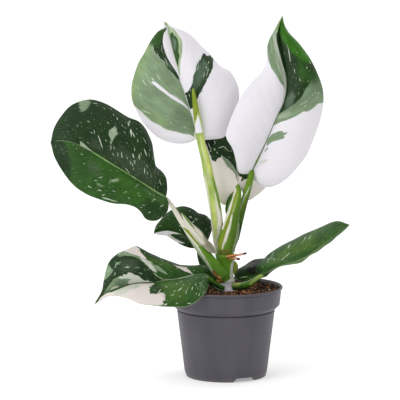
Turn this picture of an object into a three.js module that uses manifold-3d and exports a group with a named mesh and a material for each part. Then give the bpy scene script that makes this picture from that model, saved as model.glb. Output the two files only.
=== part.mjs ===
// Young variegated philodendron with seven leaves, in a round 12 cm nursery pot.
// Millimetres, +Z up. The origin is the centre of the pot's underside, and -Y is the front.
import * as THREE from "three";
import { mergeVertices } from "three/addons/utils/BufferGeometryUtils.js";
import Module from "manifold-3d";

const wasm = await Module();
wasm.setup();

// Driving dimensions of the pot.
const POT = {
  height: 95.7,
  rimRadius: 60,
  beadHeight: 3,
  bandTopRadius: 58.6,
  bandFootRadius: 57,
  bandFootZ: 75.8,
  bodyTopRadius: 51.8,
  bodyTopZ: 70.9,
  footRadius: 42.5,
  bevelWidth: 1.4,
  bevelHeight: 5.5,
  wall: 1.6,
  floorZ: 6,
  floorThickness: 1.8,
  skirtInnerRadius: 38.5,
  padRadius: 14,
  sides: 48,
};
const NOTCH = { count: 3, angle: 27.3, footWidth: 26, topWidth: 19, height: 4.2, depth: 12 };
const DRAIN = { radius: 4.5, ring: 28, sides: 16 };

// Potting mix: level at the wall, the dip round the stem, and the depth of the stem's hole.
const SOIL = {
  level: 93.2,
  dip: 6.5,
  dipRadius: 18,
  bump: 0.8,
  clearance: 0.6,
  holeZ: 77,
  sides: 32,
};

// The stem's foot, which stands in the soil.
const FOOT = { x: -0.5, y: 0, radius: 8.6, gap: 0.3 };

// Inside of the pot, from the floor's edge to the rim: radius and height.
const POT_INSIDE = [
  [POT.footRadius - POT.wall - 0.6, POT.floorZ],
  [POT.footRadius + POT.bevelWidth - POT.wall, POT.floorZ + 1.5],
  [POT.bodyTopRadius - POT.wall, POT.bodyTopZ + 0.5],
  [POT.bandFootRadius - POT.wall, POT.bandFootZ - 1],
  [POT.bandTopRadius - POT.wall, POT.height],
];

const LEAF_THICKNESS = 0.8;
const FAN = 1.5; // above 1, more side veins start near the petiole

const COLOURS = {
  pot: 0x56535b,
  soil: 0x4b3122,
  stem: 0x5f821e,
  petiole: 0xa5c35a,
  petioleDark: 0x4c6b24,
  petiolePale: 0xe1deca,
  sage: 0x82a07c,
  white: 0xe4e2e6,
  dark: 0x2e4a28,
  fresh: 0x3f6d2c,
  root: 0xbe8c5a,
};

const root = new THREE.Group();
const potGroup = new THREE.Group();
const plant = new THREE.Group();
root.add(potGroup, plant);

function addMesh(group, name, geometry, colour, roughness) {
  const material = new THREE.MeshStandardMaterial({ color: colour, roughness, metalness: 0 });
  const mesh = new THREE.Mesh(geometry, material);
  mesh.name = name;
  group.add(mesh);
  return mesh;
}

// Solids that are cut or joined.

function toSolid(geometry) {
  const bare = geometry.clone();
  bare.deleteAttribute("normal");
  bare.deleteAttribute("uv");
  const merged = mergeVertices(bare, 1e-4);
  return new wasm.Manifold(
    new wasm.Mesh({
      numProp: 3,
      vertProperties: new Float32Array(merged.attributes.position.array),
      triVerts: new Uint32Array(merged.index.array),
    }),
  );
}

function toGeometry(solid) {
  const mesh = solid.getMesh();
  const geometry = new THREE.BufferGeometry();
  geometry.setAttribute("position", new THREE.BufferAttribute(mesh.vertProperties, 3));
  geometry.setIndex(new THREE.BufferAttribute(mesh.triVerts, 1));
  geometry.computeVertexNormals();
  return geometry;
}

function fromTriangles(points, triangles) {
  const geometry = new THREE.BufferGeometry();
  const flat = points.flatMap((p) => [p.x, p.y, p.z]);
  geometry.setAttribute("position", new THREE.Float32BufferAttribute(flat, 3));
  geometry.setIndex(triangles);
  geometry.computeVertexNormals();
  return geometry;
}

function curveThrough(points) {
  const vectors = points.map((p) => new THREE.Vector3(...p));
  return new THREE.CatmullRomCurve3(vectors, false, "centripetal");
}

// A value given at the control points of a curve, read at the share t of its length.
function alongCurve(curve, values, t) {
  const place = THREE.MathUtils.clamp(t, 0, 1);
  const stops = curve.userData;
  let i = 0;
  while (i < stops.length - 2 && stops[i + 1] < place) i += 1;
  const share = (place - stops[i]) / (stops[i + 1] - stops[i]);
  return THREE.MathUtils.lerp(values[i], values[i + 1], share);
}

// The share of the whole length at which each control point of a curve lies.
function markStops(curve) {
  const chords = curve.points.slice(1).map((p, i) => p.distanceTo(curve.points[i]));
  const total = chords.reduce((sum, chord) => sum + chord, 0);
  let reached = 0;
  curve.userData = [0, ...chords.map((chord) => (reached += chord) / total)];
}

// Closes a stack of rings, all with the same number of points, into one solid.
function loft(rings) {
  const count = rings[0].length;
  const points = rings.flat();
  const triangles = [];
  for (let i = 0; i < rings.length - 1; i += 1) {
    for (let j = 0; j < count; j += 1) {
      const a = i * count + j;
      const b = i * count + ((j + 1) % count);
      triangles.push(a, b, b + count, a, b + count, a + count);
    }
  }
  const capCentre = (ring) =>
    ring.reduce((sum, p) => sum.add(p), new THREE.Vector3()).divideScalar(count);
  const first = points.push(capCentre(rings[0])) - 1;
  const last = points.push(capCentre(rings[rings.length - 1])) - 1;
  const top = (rings.length - 1) * count;
  for (let j = 0; j < count; j += 1) {
    const next = (j + 1) % count;
    triangles.push(first, next, j);
    triangles.push(last, top + j, top + next);
  }
  return fromTriangles(points, triangles);
}

// A round stalk along a path, with its own radius at each point of the path.
// The channel is the share of the radius by which the grooved front side is sunk.
function stalk({ path, radii, sides = 10, steps = 14, channel = 0 }) {
  const curve = curveThrough(path);
  markStops(curve);
  const rings = [];
  for (let i = 0; i <= steps; i += 1) {
    const t = i / steps;
    const centre = curve.getPointAt(t);
    const along = curve.getTangentAt(t);
    const across = new THREE.Vector3(0, -1, 0).cross(along).normalize();
    const front = along.clone().cross(across).normalize();
    const radius = alongCurve(curve, radii, t);
    const ring = [];
    for (let j = 0; j < sides; j += 1) {
      const angle = (2 * Math.PI * j) / sides;
      const sunk = 1 - channel * Math.max(0, Math.sin(angle)) ** 4;
      const point = centre
        .clone()
        .addScaledVector(across, radius * Math.cos(angle))
        .addScaledVector(front, radius * Math.sin(angle) * sunk);
      ring.push(point);
    }
    rings.push(ring);
  }
  return loft(rings);
}

// The middle surface of a leaf blade. The rows follow the side veins from the midrib to the
// edges, "along" runs from the petiole (0) to the tip (1), and "across" from the left edge (-1)
// over the midrib (0) to the right edge (1). Each half arches forwards by the leaf's arch, and a
// right half that arches less has an arch of its own.
function bladeSurface(leaf) {
  const mid = curveThrough(leaf.mid);
  const left = curveThrough(leaf.left);
  const right = curveThrough(leaf.right);
  return (along, across) => {
    const onMid = along ** FAN;
    const rib = mid.getPointAt(onMid);
    const edge = (across < 0 ? left : right).getPointAt(along);
    const share = Math.abs(across);
    const steady = THREE.MathUtils.clamp(along, 0.12, 0.9);
    const span = right.getPointAt(steady).sub(left.getPointAt(steady));
    const facing = span.cross(mid.getTangentAt(onMid)).normalize();
    const height = across < 0 ? leaf.arch : leaf.rightArch ?? leaf.arch;
    const arch = height * 4 * share * (1 - share) * Math.sin(Math.PI * along) ** 0.8;
    return rib.lerp(edge, share).addScaledVector(facing, arch);
  };
}

// A thin closed blade: both faces have the same triangles, and the midrib is a ridge behind.
function blade(leaf) {
  const surface = bladeSurface(leaf);
  const rows = leaf.rows;
  const columns = [-1, -0.68, -0.36, -0.08, 0, 0.08, 0.36, 0.68, 1];
  const width = columns.length;
  const middle = (width - 1) / 2;
  const sheet = [surface(0, 0)];
  for (let i = 1; i < rows; i += 1) {
    for (const across of columns) sheet.push(surface(i / rows, across));
  }
  sheet.push(surface(1, 0));
  const at = (i, j) => 1 + (i - 1) * width + j;
  const tip = sheet.length - 1;
  const front = [];
  for (let j = 0; j < width - 1; j += 1) {
    front.push([0, at(1, j + 1), at(1, j)]);
    front.push([tip, at(rows - 1, j), at(rows - 1, j + 1)]);
    for (let i = 1; i < rows - 1; i += 1) {
      const [a, b, c, d] = [at(i, j), at(i, j + 1), at(i + 1, j + 1), at(i + 1, j)];
      if (j < middle) front.push([a, b, c], [a, c, d]);
      else front.push([a, b, d], [b, c, d]);
    }
  }
  const normals = sheet.map(() => new THREE.Vector3());
  for (const face of front) {
    const [a, b, c] = face.map((k) => sheet[k]);
    const normal = b.clone().sub(a).cross(c.clone().sub(a));
    for (const k of face) normals[k].add(normal);
  }
  const points = [];
  sheet.forEach((point, k) => {
    points.push(point.clone().addScaledVector(normals[k].normalize(), LEAF_THICKNESS / 2));
  });
  sheet.forEach((point, k) => {
    const row = Math.floor((k - 1) / width) + 1;
    const onMidrib = k > 0 && k < tip && (k - 1) % width === middle;
    const taper = Math.min(1, 4 * (row / rows)) * (1 - row / rows);
    const ridge = onMidrib ? leaf.rib * taper : 0;
    points.push(point.clone().addScaledVector(normals[k], -LEAF_THICKNESS / 2 - ridge));
  });
  const size = sheet.length;
  const triangles = front.flatMap(([a, b, c]) => [a, b, c, a + size, c + size, b + size]);
  const leftEdge = Array.from({ length: rows - 1 }, (_, i) => at(i + 1, 0));
  const rightEdge = Array.from({ length: rows - 1 }, (_, i) => at(rows - 1 - i, width - 1));
  const rim = [0, ...leftEdge, tip, ...rightEdge];
  rim.forEach((a, k) => {
    const b = rim[(k + 1) % rim.length];
    triangles.push(a, b, b + size, a, b + size, a + size);
  });
  return fromTriangles(points, triangles);
}

// Pot.

function lathe(profile, sides) {
  const points = profile.map(([radius, z]) => new THREE.Vector2(radius, z));
  return new THREE.LatheGeometry(points, sides).rotateX(Math.PI / 2);
}

// The space of a notch in the foot's skirt: its sides slope in towards its top.
function notchCutter() {
  const slope = (NOTCH.footWidth - NOTCH.topWidth) / 2 / NOTCH.height;
  const below = NOTCH.height;
  const halfBelow = NOTCH.footWidth / 2 + slope * below;
  const outline = new THREE.Shape([
    new THREE.Vector2(-halfBelow, -below),
    new THREE.Vector2(halfBelow, -below),
    new THREE.Vector2(NOTCH.topWidth / 2, NOTCH.height),
    new THREE.Vector2(-NOTCH.topWidth / 2, NOTCH.height),
  ]);
  const prism = new THREE.ExtrudeGeometry(outline, { depth: NOTCH.depth, bevelEnabled: false });
  return prism.rotateX(Math.PI / 2).translate(0, NOTCH.depth / 2, 0);
}

function potSolid() {
  const p = POT;
  const beadFoot = p.height - p.beadHeight;
  const skirtTop = p.floorZ - p.floorThickness;
  const profile = [
    [0, 0],
    [p.padRadius, 0],
    [p.padRadius + 1.5, skirtTop],
    [p.skirtInnerRadius, skirtTop],
    [p.skirtInnerRadius + 0.8, 0],
    [p.footRadius, 0],
    [p.footRadius + p.bevelWidth, p.bevelHeight],
    [p.bodyTopRadius, p.bodyTopZ],
    [p.bandFootRadius - 0.8, p.bandFootZ - 2.2],
    [p.bandFootRadius, p.bandFootZ],
    [p.bandTopRadius, beadFoot - 0.5],
    [p.bandTopRadius, beadFoot],
    [p.rimRadius, beadFoot + 0.6],
    [p.rimRadius, p.height - 0.7],
    [p.rimRadius - 0.8, p.height],
    ...POT_INSIDE.toReversed(),
    [0, p.floorZ],
  ];
  let pot = toSolid(lathe(profile, p.sides));
  for (let i = 0; i < NOTCH.count; i += 1) {
    const angle = THREE.MathUtils.degToRad(NOTCH.angle + (360 / NOTCH.count) * i);
    const direction = new THREE.Vector3(Math.sin(angle), -Math.cos(angle), 0);
    const notch = notchCutter()
      .rotateZ(angle)
      .translate(direction.x * p.footRadius, direction.y * p.footRadius, 0);
    const hole = new THREE.CylinderGeometry(DRAIN.radius, DRAIN.radius, 3 * p.floorZ, DRAIN.sides)
      .rotateX(Math.PI / 2)
      .translate(direction.x * DRAIN.ring, direction.y * DRAIN.ring, 0);
    pot = pot.subtract(toSolid(notch)).subtract(toSolid(hole));
  }
  return toGeometry(pot);
}

// Soil: fills the pot, and its top is uneven by a few sine waves.

function soilHeight(x, y) {
  const distance = Math.hypot(x - FOOT.x, y - FOOT.y);
  const dip = SOIL.dip * Math.exp(-((distance / SOIL.dipRadius) ** 2));
  const waves = Math.sin(0.31 * x + 1) * Math.cos(0.27 * y) + Math.sin(0.19 * (x + 2 * y));
  return SOIL.level - dip + (SOIL.bump * waves) / 2;
}

function soilSolid() {
  const circle = (radius, height) =>
    Array.from({ length: SOIL.sides }, (_, j) => {
      const angle = (2 * Math.PI * j) / SOIL.sides;
      const x = radius * Math.cos(angle);
      const y = radius * Math.sin(angle);
      return new THREE.Vector3(x, y, height(x, y));
    });
  const rings = POT_INSIDE.slice(0, 4).map(([radius, z]) =>
    circle(radius - SOIL.clearance, () => Math.max(z, POT.floorZ + FOOT.gap)),
  );
  const [[lowRadius, lowZ], [topRadius, topZ]] = POT_INSIDE.slice(3);
  const share = (SOIL.level - lowZ) / (topZ - lowZ);
  const brim = THREE.MathUtils.lerp(lowRadius, topRadius, share) - SOIL.clearance;
  for (const part of [1, 0.82, 0.62, 0.42, 0.26, 0.1]) {
    rings.push(circle(brim * part, soilHeight));
  }
  const holeRadius = FOOT.radius + FOOT.gap + 0.2;
  const holeDepth = 2 * (SOIL.level - SOIL.holeZ);
  const hole = new THREE.CylinderGeometry(holeRadius, holeRadius, holeDepth, 24)
    .rotateX(Math.PI / 2)
    .translate(FOOT.x, FOOT.y, SOIL.holeZ + holeDepth / 2);
  return toGeometry(toSolid(loft(rings)).subtract(toSolid(hole)));
}

addMesh(potGroup, "pot", potSolid(), COLOURS.pot, 0.5);
addMesh(potGroup, "soil", soilSolid(), COLOURS.soil, 1);

// Stem: a pale foot in the soil, a green internode and a wide ring that carries the petioles.

function stemSolid() {
  const levels = [
    { z: SOIL.holeZ + FOOT.gap, x: FOOT.x, y: FOOT.y, rx: FOOT.radius, ry: FOOT.radius },
    { z: 90, x: FOOT.x, y: FOOT.y, rx: 8.3, ry: 8.3 },
    { z: 97.5, x: -1, y: 0, rx: 8.0, ry: 8.0 },
    { z: 101.5, x: -1.2, y: 0, rx: 8.5, ry: 8.4 },
    { z: 104.5, x: -1.4, y: 0, rx: 7.8, ry: 7.8 },
    { z: 113.5, x: -1.5, y: 0.5, rx: 7.7, ry: 8.2 },
    { z: 121.5, x: -1.4, y: 1.5, rx: 8.2, ry: 9.2 },
    { z: 126, x: -1, y: 2.6, rx: 10, ry: 11.8 },
    { z: 128.2, x: -1, y: 3, rx: 10.4, ry: 12.4 },
    { z: 129.5, x: -1, y: 3, rx: 9.8, ry: 11.8 },
  ];
  const sides = 20;
  const rings = levels.map((level) =>
    Array.from({ length: sides }, (_, j) => {
      const angle = (2 * Math.PI * j) / sides;
      const x = level.x + level.rx * Math.cos(angle);
      const y = level.y + level.ry * Math.sin(angle);
      return new THREE.Vector3(x, y, level.z);
    }),
  );
  return loft(rings);
}

addMesh(plant, "stem", stemSolid(), COLOURS.stem, 0.5);

// Petioles and other stalks, from the stem outwards.

const STALKS = {
  petiole_upper_left: {
    colour: COLOURS.petiole,
    channel: 0.25,
    path: [
      [-7, 9.5, 130.3], [-7.5, 9.2, 137], [-8.5, 7.5, 145.5], [-9, 4, 158.7], [-11, 0.5, 176.3],
      [-14, -2, 192.6], [-18, -4.5, 210.8], [-21.5, -6.5, 229.6], [-25, -7.3, 242.5],
      [-27.5, -7.5, 255.9],
    ],
    radii: [4.6, 5, 5.6, 6.4, 6.4, 6.2, 5.6, 4.8, 4.3, 4.3],
  },
  new_leaf_spear: {
    colour: COLOURS.petiole,
    steps: 8,
    path: [
      [-27.7, -7.5, 256.4], [-29.5, -7.5, 269.9], [-31.5, -7, 282.3], [-33, -6.5, 292.8],
      [-34, -6, 300.3], [-34.5, -6, 304.8],
    ],
    radii: [4.2, 3.9, 3.3, 2.5, 1.4, 0.3],
  },
  petiole_back: {
    colour: COLOURS.stem,
    path: [
      [-0.5, -2.5, 130.3], [-0.5, -3, 138.5], [1.5, -4, 147.3], [4.5, -4, 159.7], [8, -3, 174.7],
      [11, -2, 187.1], [12.5, 0, 196.7], [12.5, 1.7, 200.2],
    ],
    radii: [7.4, 8.6, 8.9, 8, 6.6, 5.2, 3.6, 2.6],
  },
  petiole_upper_right: {
    colour: COLOURS.petioleDark,
    path: [
      [5, 10.2, 130.4], [6.5, 10.5, 137], [10, 10, 146.1], [14, 8.5, 162.4], [17.5, 7, 177.2],
      [21.5, 4.5, 193.4], [24.5, 2, 205.2], [26.5, -0.3, 213.5],
    ],
    radii: [4.2, 4.3, 4.3, 4, 3.9, 3.8, 3.6, 3],
  },
  petiole_left: {
    colour: COLOURS.petiolePale,
    path: [
      [-4, -14.2, 108], [-9.5, -15, 115.5], [-18, -16, 126.9], [-28.5, -17, 140.2],
      [-39.5, -17, 156.5], [-49.5, -15, 171], [-56, -12.5, 181.1], [-62.6, -12.2, 190],
    ],
    radii: [6.4, 6.4, 5.8, 5, 4, 3, 2.3, 1.9],
  },
  petiole_small: {
    colour: COLOURS.petioleDark,
    steps: 9,
    path: [
      [-11.5, 4.5, 99.5], [-17, 7.5, 104.9], [-22.5, 10, 113], [-26.5, 13, 123], [-28, 15, 131.5],
      [-28.7, 14.6, 138],
    ],
    radii: [4.2, 4.2, 4, 3.6, 3, 2.4],
  },
  petiole_lower_left: {
    colour: COLOURS.petioleDark,
    steps: 6,
    path: [
      [-2.5, -12.5, 95], [-9.5, -13.5, 97.8], [-16.5, -15, 103.7], [-22.1, -15.9, 108.6],
    ],
    radii: [4.4, 4.4, 4, 3],
  },
  petiole_right: {
    colour: COLOURS.stem,
    steps: 8,
    path: [
      [7.4, -3.8, 95.4], [14.5, -7, 96.4], [22, -10, 98.4], [30.5, -11.5, 103.4], [35.9, -11.5, 107.5],
    ],
    radii: [3.8, 3.8, 3.6, 3.2, 2.4],
  },
  bud_right: {
    colour: COLOURS.stem,
    steps: 6,
    sides: 8,
    path: [[8, -1, 109.5], [9.8, -1.5, 113.3], [10.5, -1.5, 117.3], [10, -1, 121.2]],
    radii: [1.7, 2.6, 2.4, 0.6],
  },
  aerial_root_long: {
    colour: COLOURS.root,
    steps: 6,
    sides: 8,
    path: [[0.5, -10.9, 128.2], [6, -12.9, 129.7], [13, -14.5, 130.9], [21.3, -16, 132.8]],
    radii: [1.4, 1.4, 1.3, 1.1],
  },
  aerial_root_short: {
    colour: COLOURS.root,
    steps: 5,
    sides: 8,
    path: [[3.5, -9.4, 126.2], [8.5, -12, 127], [14.3, -14, 126]],
    radii: [1.4, 1.4, 1.2],
  },
};

for (const [name, { colour, ...shape }] of Object.entries(STALKS)) {
  addMesh(plant, name, stalk(shape), colour, 0.45);
}

// Leaf blades. Each list runs from the petiole to the tip.

const LEAVES = {
  leaf_upper_left: {
    colour: COLOURS.sage,
    rows: 26,
    arch: 9,
    rib: 1.8,
    mid: [
      [-29.5, -2.2, 253.2], [-36.5, 1, 277], [-44, 3.5, 301], [-49, 8, 320.5], [-55, 16, 341.5],
      [-60.5, 30, 363], [-65.5, 37, 372.5],
    ],
    left: [
      [-29.5, -2.2, 253.2], [-38, 1, 248], [-50.5, 2, 246.5], [-61, 3, 248], [-72.5, 4, 253.5],
      [-84, 6, 264], [-93.5, 8, 278.5], [-99, 9, 293.5], [-99.5, 11, 306.5], [-97, 13, 317.5],
      [-92.5, 16, 329], [-87, 20, 338.5], [-80.5, 24, 350.5], [-72.5, 28, 361],
      [-65.5, 32, 367], [-65.5, 37, 372.5],
    ],
    right: [
      [-29.5, -2.2, 253.2], [-23.5, 2, 250.5], [-13, 5, 250.5], [-1.5, 8, 253], [7, 11, 266],
      [12.5, 13, 284], [14, 14, 294.5], [12.5, 15, 305], [9, 16, 314], [4, 17, 321.5],
      [-6, 20, 327], [-17, 24, 338.5], [-27, 27, 348.5], [-35, 29, 356.5], [-44.5, 31, 363],
      [-56, 34, 367], [-65.5, 37, 372.5],
    ],
  },
  leaf_upper_right: {
    colour: COLOURS.white,
    rows: 28,
    arch: 9,
    rib: 2,
    mid: [
      [26.5, 3.4, 215.2], [34.5, 3, 232], [42.5, 1, 249.5], [53, 1, 274.5], [61, 4, 291.5],
      [63.5, 9, 306], [61.5, 17, 324.5], [57.5, 26, 343], [55.5, 35, 360], [60, 45, 378.5],
    ],
    left: [
      [26.5, 3.4, 215.2], [21, 5, 214], [14, 1, 216], [10.5, -5, 227.5], [6.5, -9, 242],
      [0, -11, 255.5], [2.5, -10, 268], [10, -5, 285.5], [18.5, 0, 300.5], [26.5, 6, 310.5],
      [36, 11, 319], [41.5, 16, 330], [42.5, 22, 343.5], [46, 28, 354], [53.5, 37, 366.5],
      [60, 45, 378.5],
    ],
    right: [
      [26.5, 3.4, 215.2], [30, 7, 207], [36.5, 4, 201.5], [45, 1, 200], [54.5, -1, 203.5],
      [63.5, -2, 210], [74, -1, 221], [83.5, 1, 233.5], [92, 3, 251], [99, 5, 271],
      [102, 8, 290.5], [99.5, 13, 310.5], [90, 20, 330.5], [77.5, 28, 348.5], [66, 36, 361.5],
      [61.5, 41, 370], [60, 45, 378.5],
    ],
  },
  leaf_back: {
    colour: COLOURS.fresh,
    rows: 20,
    arch: 6,
    rib: 1.5,
    mid: [
      [12.5, 5, 200.9], [12, 13, 211], [11, 23, 223.5], [9.5, 34, 238.5], [6.5, 47, 256],
      [2.5, 61, 274], [-2, 72, 288.5],
    ],
    left: [
      [12.5, 5, 200.9], [8.5, 7, 193.5], [4, 9, 185.5], [-1.5, 11, 180], [-7.5, 13, 185],
      [-12.5, 17, 197.5], [-18.5, 22, 214], [-22, 29, 230], [-22.5, 37, 245.5], [-19.5, 46, 260.5],
      [-13.5, 57, 274.5], [-7.5, 65, 283.5], [-2, 72, 288.5],
    ],
    right: [
      [12.5, 5, 200.9], [17, 11.5, 195], [23.5, 15, 184.5], [32.5, 17, 189], [42.5, 21, 198],
      [47.5, 26, 210], [48.5, 34, 225.5], [44, 43, 240.5], [35.5, 53, 256.5], [24, 61, 271.5],
      [11, 68, 283], [-2, 72, 288.5],
    ],
  },
  leaf_left: {
    colour: COLOURS.dark,
    rows: 28,
    arch: 8,
    rib: 1.8,
    mid: [
      [-63.5, -14, 191.4], [-77.5, -17, 200.5], [-96, -19, 212.5], [-120, -20, 227.5],
      [-143.5, -20, 242], [-160.5, -18, 249.5], [-174, -14, 251], [-183.5, -10, 248.5],
    ],
    left: [
      [-63.5, -14, 191.4], [-60.5, -17, 186], [-61.5, -21, 179], [-66, -26, 173.5],
      [-72, -30, 169.5], [-79, -33, 169.5], [-84.5, -35, 172.5], [-89, -36, 179.5],
      [-95, -37, 184.5], [-103, -38, 187], [-117.5, -39, 188.5], [-130.5, -39, 192.5],
      [-144.5, -38, 198], [-159, -34, 207.5], [-171.5, -26, 223], [-179.5, -17, 237.5],
      [-183.5, -10, 248.5],
    ],
    right: [
      [-63.5, -14, 191.4], [-61.5, -8, 201.5], [-62.5, -5, 210.5], [-67.5, -2, 217.5],
      [-73.5, 0, 223], [-76.5, 3, 235], [-79, 5, 248], [-84, 8, 260.5], [-91.5, 10, 268.5],
      [-103, 12, 273.5], [-114, 14, 280], [-127, 16, 287.5], [-145, 16, 291.5],
      [-160.5, 12, 287], [-173, 5, 275], [-180.5, -3, 261], [-183.5, -10, 248.5],
    ],
  },
  leaf_small: {
    colour: COLOURS.dark,
    rows: 20,
    arch: 4,
    rib: 1,
    mid: [
      [-28.5, 13, 139.4], [-38, 15, 144.5], [-51, 17, 149.5], [-63.5, 17, 151.5],
      [-72, 15, 151], [-76.5, 12, 149.5],
    ],
    left: [
      [-28.5, 13, 139.4], [-30.5, 9, 134.5], [-37, 5, 135], [-44.5, 3, 137.5], [-50.5, 3, 140.5],
      [-57, 4, 144.5], [-63.5, 6, 148], [-71, 9, 148.5], [-76.5, 12, 149.5],
    ],
    right: [
      [-28.5, 13, 139.4], [-21, 19, 139], [-15.5, 26, 149], [-15, 30, 159], [-21, 33, 166.5],
      [-29.5, 35, 169], [-37.5, 37, 173], [-45, 38, 175.5], [-53, 37, 174], [-61.5, 33, 169.5],
      [-69.5, 27, 162.5], [-74.5, 20, 156.5], [-76.5, 12, 149.5],
    ],
  },
  leaf_lower_left: {
    colour: COLOURS.fresh,
    rows: 28,
    arch: 7,
    rib: 1.4,
    mid: [
      [-24, -16, 110.1], [-34, -24, 111], [-49.5, -33, 108.5], [-63, -39, 107.5], [-77, -44, 106],
      [-92, -48, 106], [-104.5, -50, 103.5], [-116.5, -52, 99.5], [-127.5, -53, 92.5],
      [-137, -53, 84.5],
    ],
    left: [
      [-24, -16, 110.1], [-20, -24, 106.5], [-19, -42, 101], [-22.5, -58, 97.5], [-30.5, -68, 91],
      [-41.5, -72, 86], [-58.5, -74, 86], [-76.5, -74, 87.5], [-89, -73, 89],
      [-100.5, -70, 93.5], [-111, -66, 95.5], [-120.5, -61, 95], [-129, -56, 90.5],
      [-137, -53, 84.5],
    ],
    right: [
      [-24, -16, 110.1], [-20, -9, 113.5], [-20.5, -3, 117], [-26, 0, 118.5], [-34, 0, 117],
      [-42, -2, 116.5], [-54, -6, 118], [-61.5, -9, 122], [-75.5, -14, 130], [-86, -17, 136],
      [-94, -20, 141], [-105, -26, 137.5], [-114, -31, 134.5], [-120.5, -36, 128.5],
      [-124, -40, 120.5], [-127, -45, 108], [-129.5, -49, 97.5], [-137, -53, 84.5],
    ],
  },
  leaf_right: {
    colour: COLOURS.fresh,
    rows: 24,
    arch: 4,
    rightArch: 0.5,
    rib: 1.2,
    mid: [
      [38.5, -10.5, 109.6], [46.5, -12, 113.9], [55.5, -14, 118.9], [68.8, -14, 122.8],
      [79.5, -13, 125.5], [90, -10, 132], [105, -5, 143], [119, 1, 154], [131, 8, 159.5],
    ],
    left: [
      [38.5, -10.5, 109.6], [31.5, -4, 103.6], [22, 4, 99.6], [14, 11, 99], [9.2, 16, 103.3],
      [9.4, 19.5, 107.7], [20.4, 22, 114.4], [31.2, 23, 120.1], [37.5, 20, 119.2],
      [46, 20, 126.2], [55.8, 22, 132.9], [65.2, 24, 138.2], [77, 26, 144], [91.5, 27, 150.4],
      [105.5, 25, 157], [118.5, 18, 161.5], [131, 8, 159.5],
    ],
    right: [
      [38.5, -10.5, 109.6], [41.6, -17, 111.1], [47.3, -27, 116.8], [55.3, -36, 121.7], [67, -42, 126],
      [78.4, -42, 128.2], [89, -38, 134.6], [105, -27, 143.5], [120.5, -9, 153.3],
      [131, 8, 159.5],
    ],
  },
};

// Sheaths: short open flaps beside a petiole, built as blades without a midrib.

const SHEATHS = {
  petiole_left_sheath: {
    colour: COLOURS.petiolePale,
    rows: 10,
    arch: 1.6,
    rib: 0,
    mid: [
      [-11, -16.5, 132.3], [-17.5, -16.7, 139.2], [-29, -17, 152.1], [-40, -16, 167],
      [-47.5, -15, 176],
    ],
    left: [
      [-11, -16.5, 132.3], [-18.8, -22.2, 135.4], [-31, -21.9, 149.8], [-42.8, -19.8, 165.3],
      [-47.5, -15, 176],
    ],
    right: [
      [-11, -16.5, 132.3], [-18.8, -10.8, 136.1], [-31, -11.8, 150.4], [-42.8, -12.2, 165.7],
      [-47.5, -15, 176],
    ],
  },
  petiole_back_sheath: {
    colour: COLOURS.dark,
    rows: 8,
    arch: 1,
    rib: 0,
    mid: [[0.6, 1.2, 170.4], [-0.5, 2, 175.9], [0.6, 2.5, 184.4], [3.5, 2.5, 190.8], [8, 2.5, 195.3]],
    left: [[0.6, 1.2, 170.4], [2, 5, 176.6], [4, 5, 184], [6.5, 4.4, 190], [8, 2.5, 195.3]],
    right: [[0.6, 1.2, 170.4], [1.9, 0.2, 176.3], [4.6, 0.8, 183.8], [7, 1.6, 190.3], [8, 2.5, 195.3]],
  },
};

for (const [name, leaf] of Object.entries({ ...LEAVES, ...SHEATHS })) {
  addMesh(plant, name, blade(leaf), leaf.colour, 0.35);
}

export default root;
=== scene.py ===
"""Looks of a young variegated philodendron in a 12 cm nursery pot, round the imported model.

Sizes are in millimetres, and the named ones and the curves are those of the model. +Z is up,
the origin is the centre of the pot's underside, and -Y is the front.
"""
import math

import bpy
import numpy as np
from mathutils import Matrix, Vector, noise


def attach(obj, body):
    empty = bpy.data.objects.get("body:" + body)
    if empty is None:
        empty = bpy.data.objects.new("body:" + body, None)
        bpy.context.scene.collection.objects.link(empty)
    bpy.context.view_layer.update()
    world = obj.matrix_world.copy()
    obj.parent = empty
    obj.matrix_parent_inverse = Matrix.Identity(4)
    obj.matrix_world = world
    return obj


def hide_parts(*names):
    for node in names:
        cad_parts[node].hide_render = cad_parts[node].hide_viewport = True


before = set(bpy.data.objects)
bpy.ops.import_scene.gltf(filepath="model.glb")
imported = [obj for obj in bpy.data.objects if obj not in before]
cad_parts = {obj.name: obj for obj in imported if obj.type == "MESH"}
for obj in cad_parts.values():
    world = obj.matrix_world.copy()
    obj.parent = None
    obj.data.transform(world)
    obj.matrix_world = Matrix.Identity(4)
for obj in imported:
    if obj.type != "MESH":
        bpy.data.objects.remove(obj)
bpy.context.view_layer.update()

MM = 0.001
chance = np.random.default_rng(7)


# Curves and surfaces

def unit(vectors):
    return vectors / np.linalg.norm(vectors, axis=-1, keepdims=True)


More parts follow.
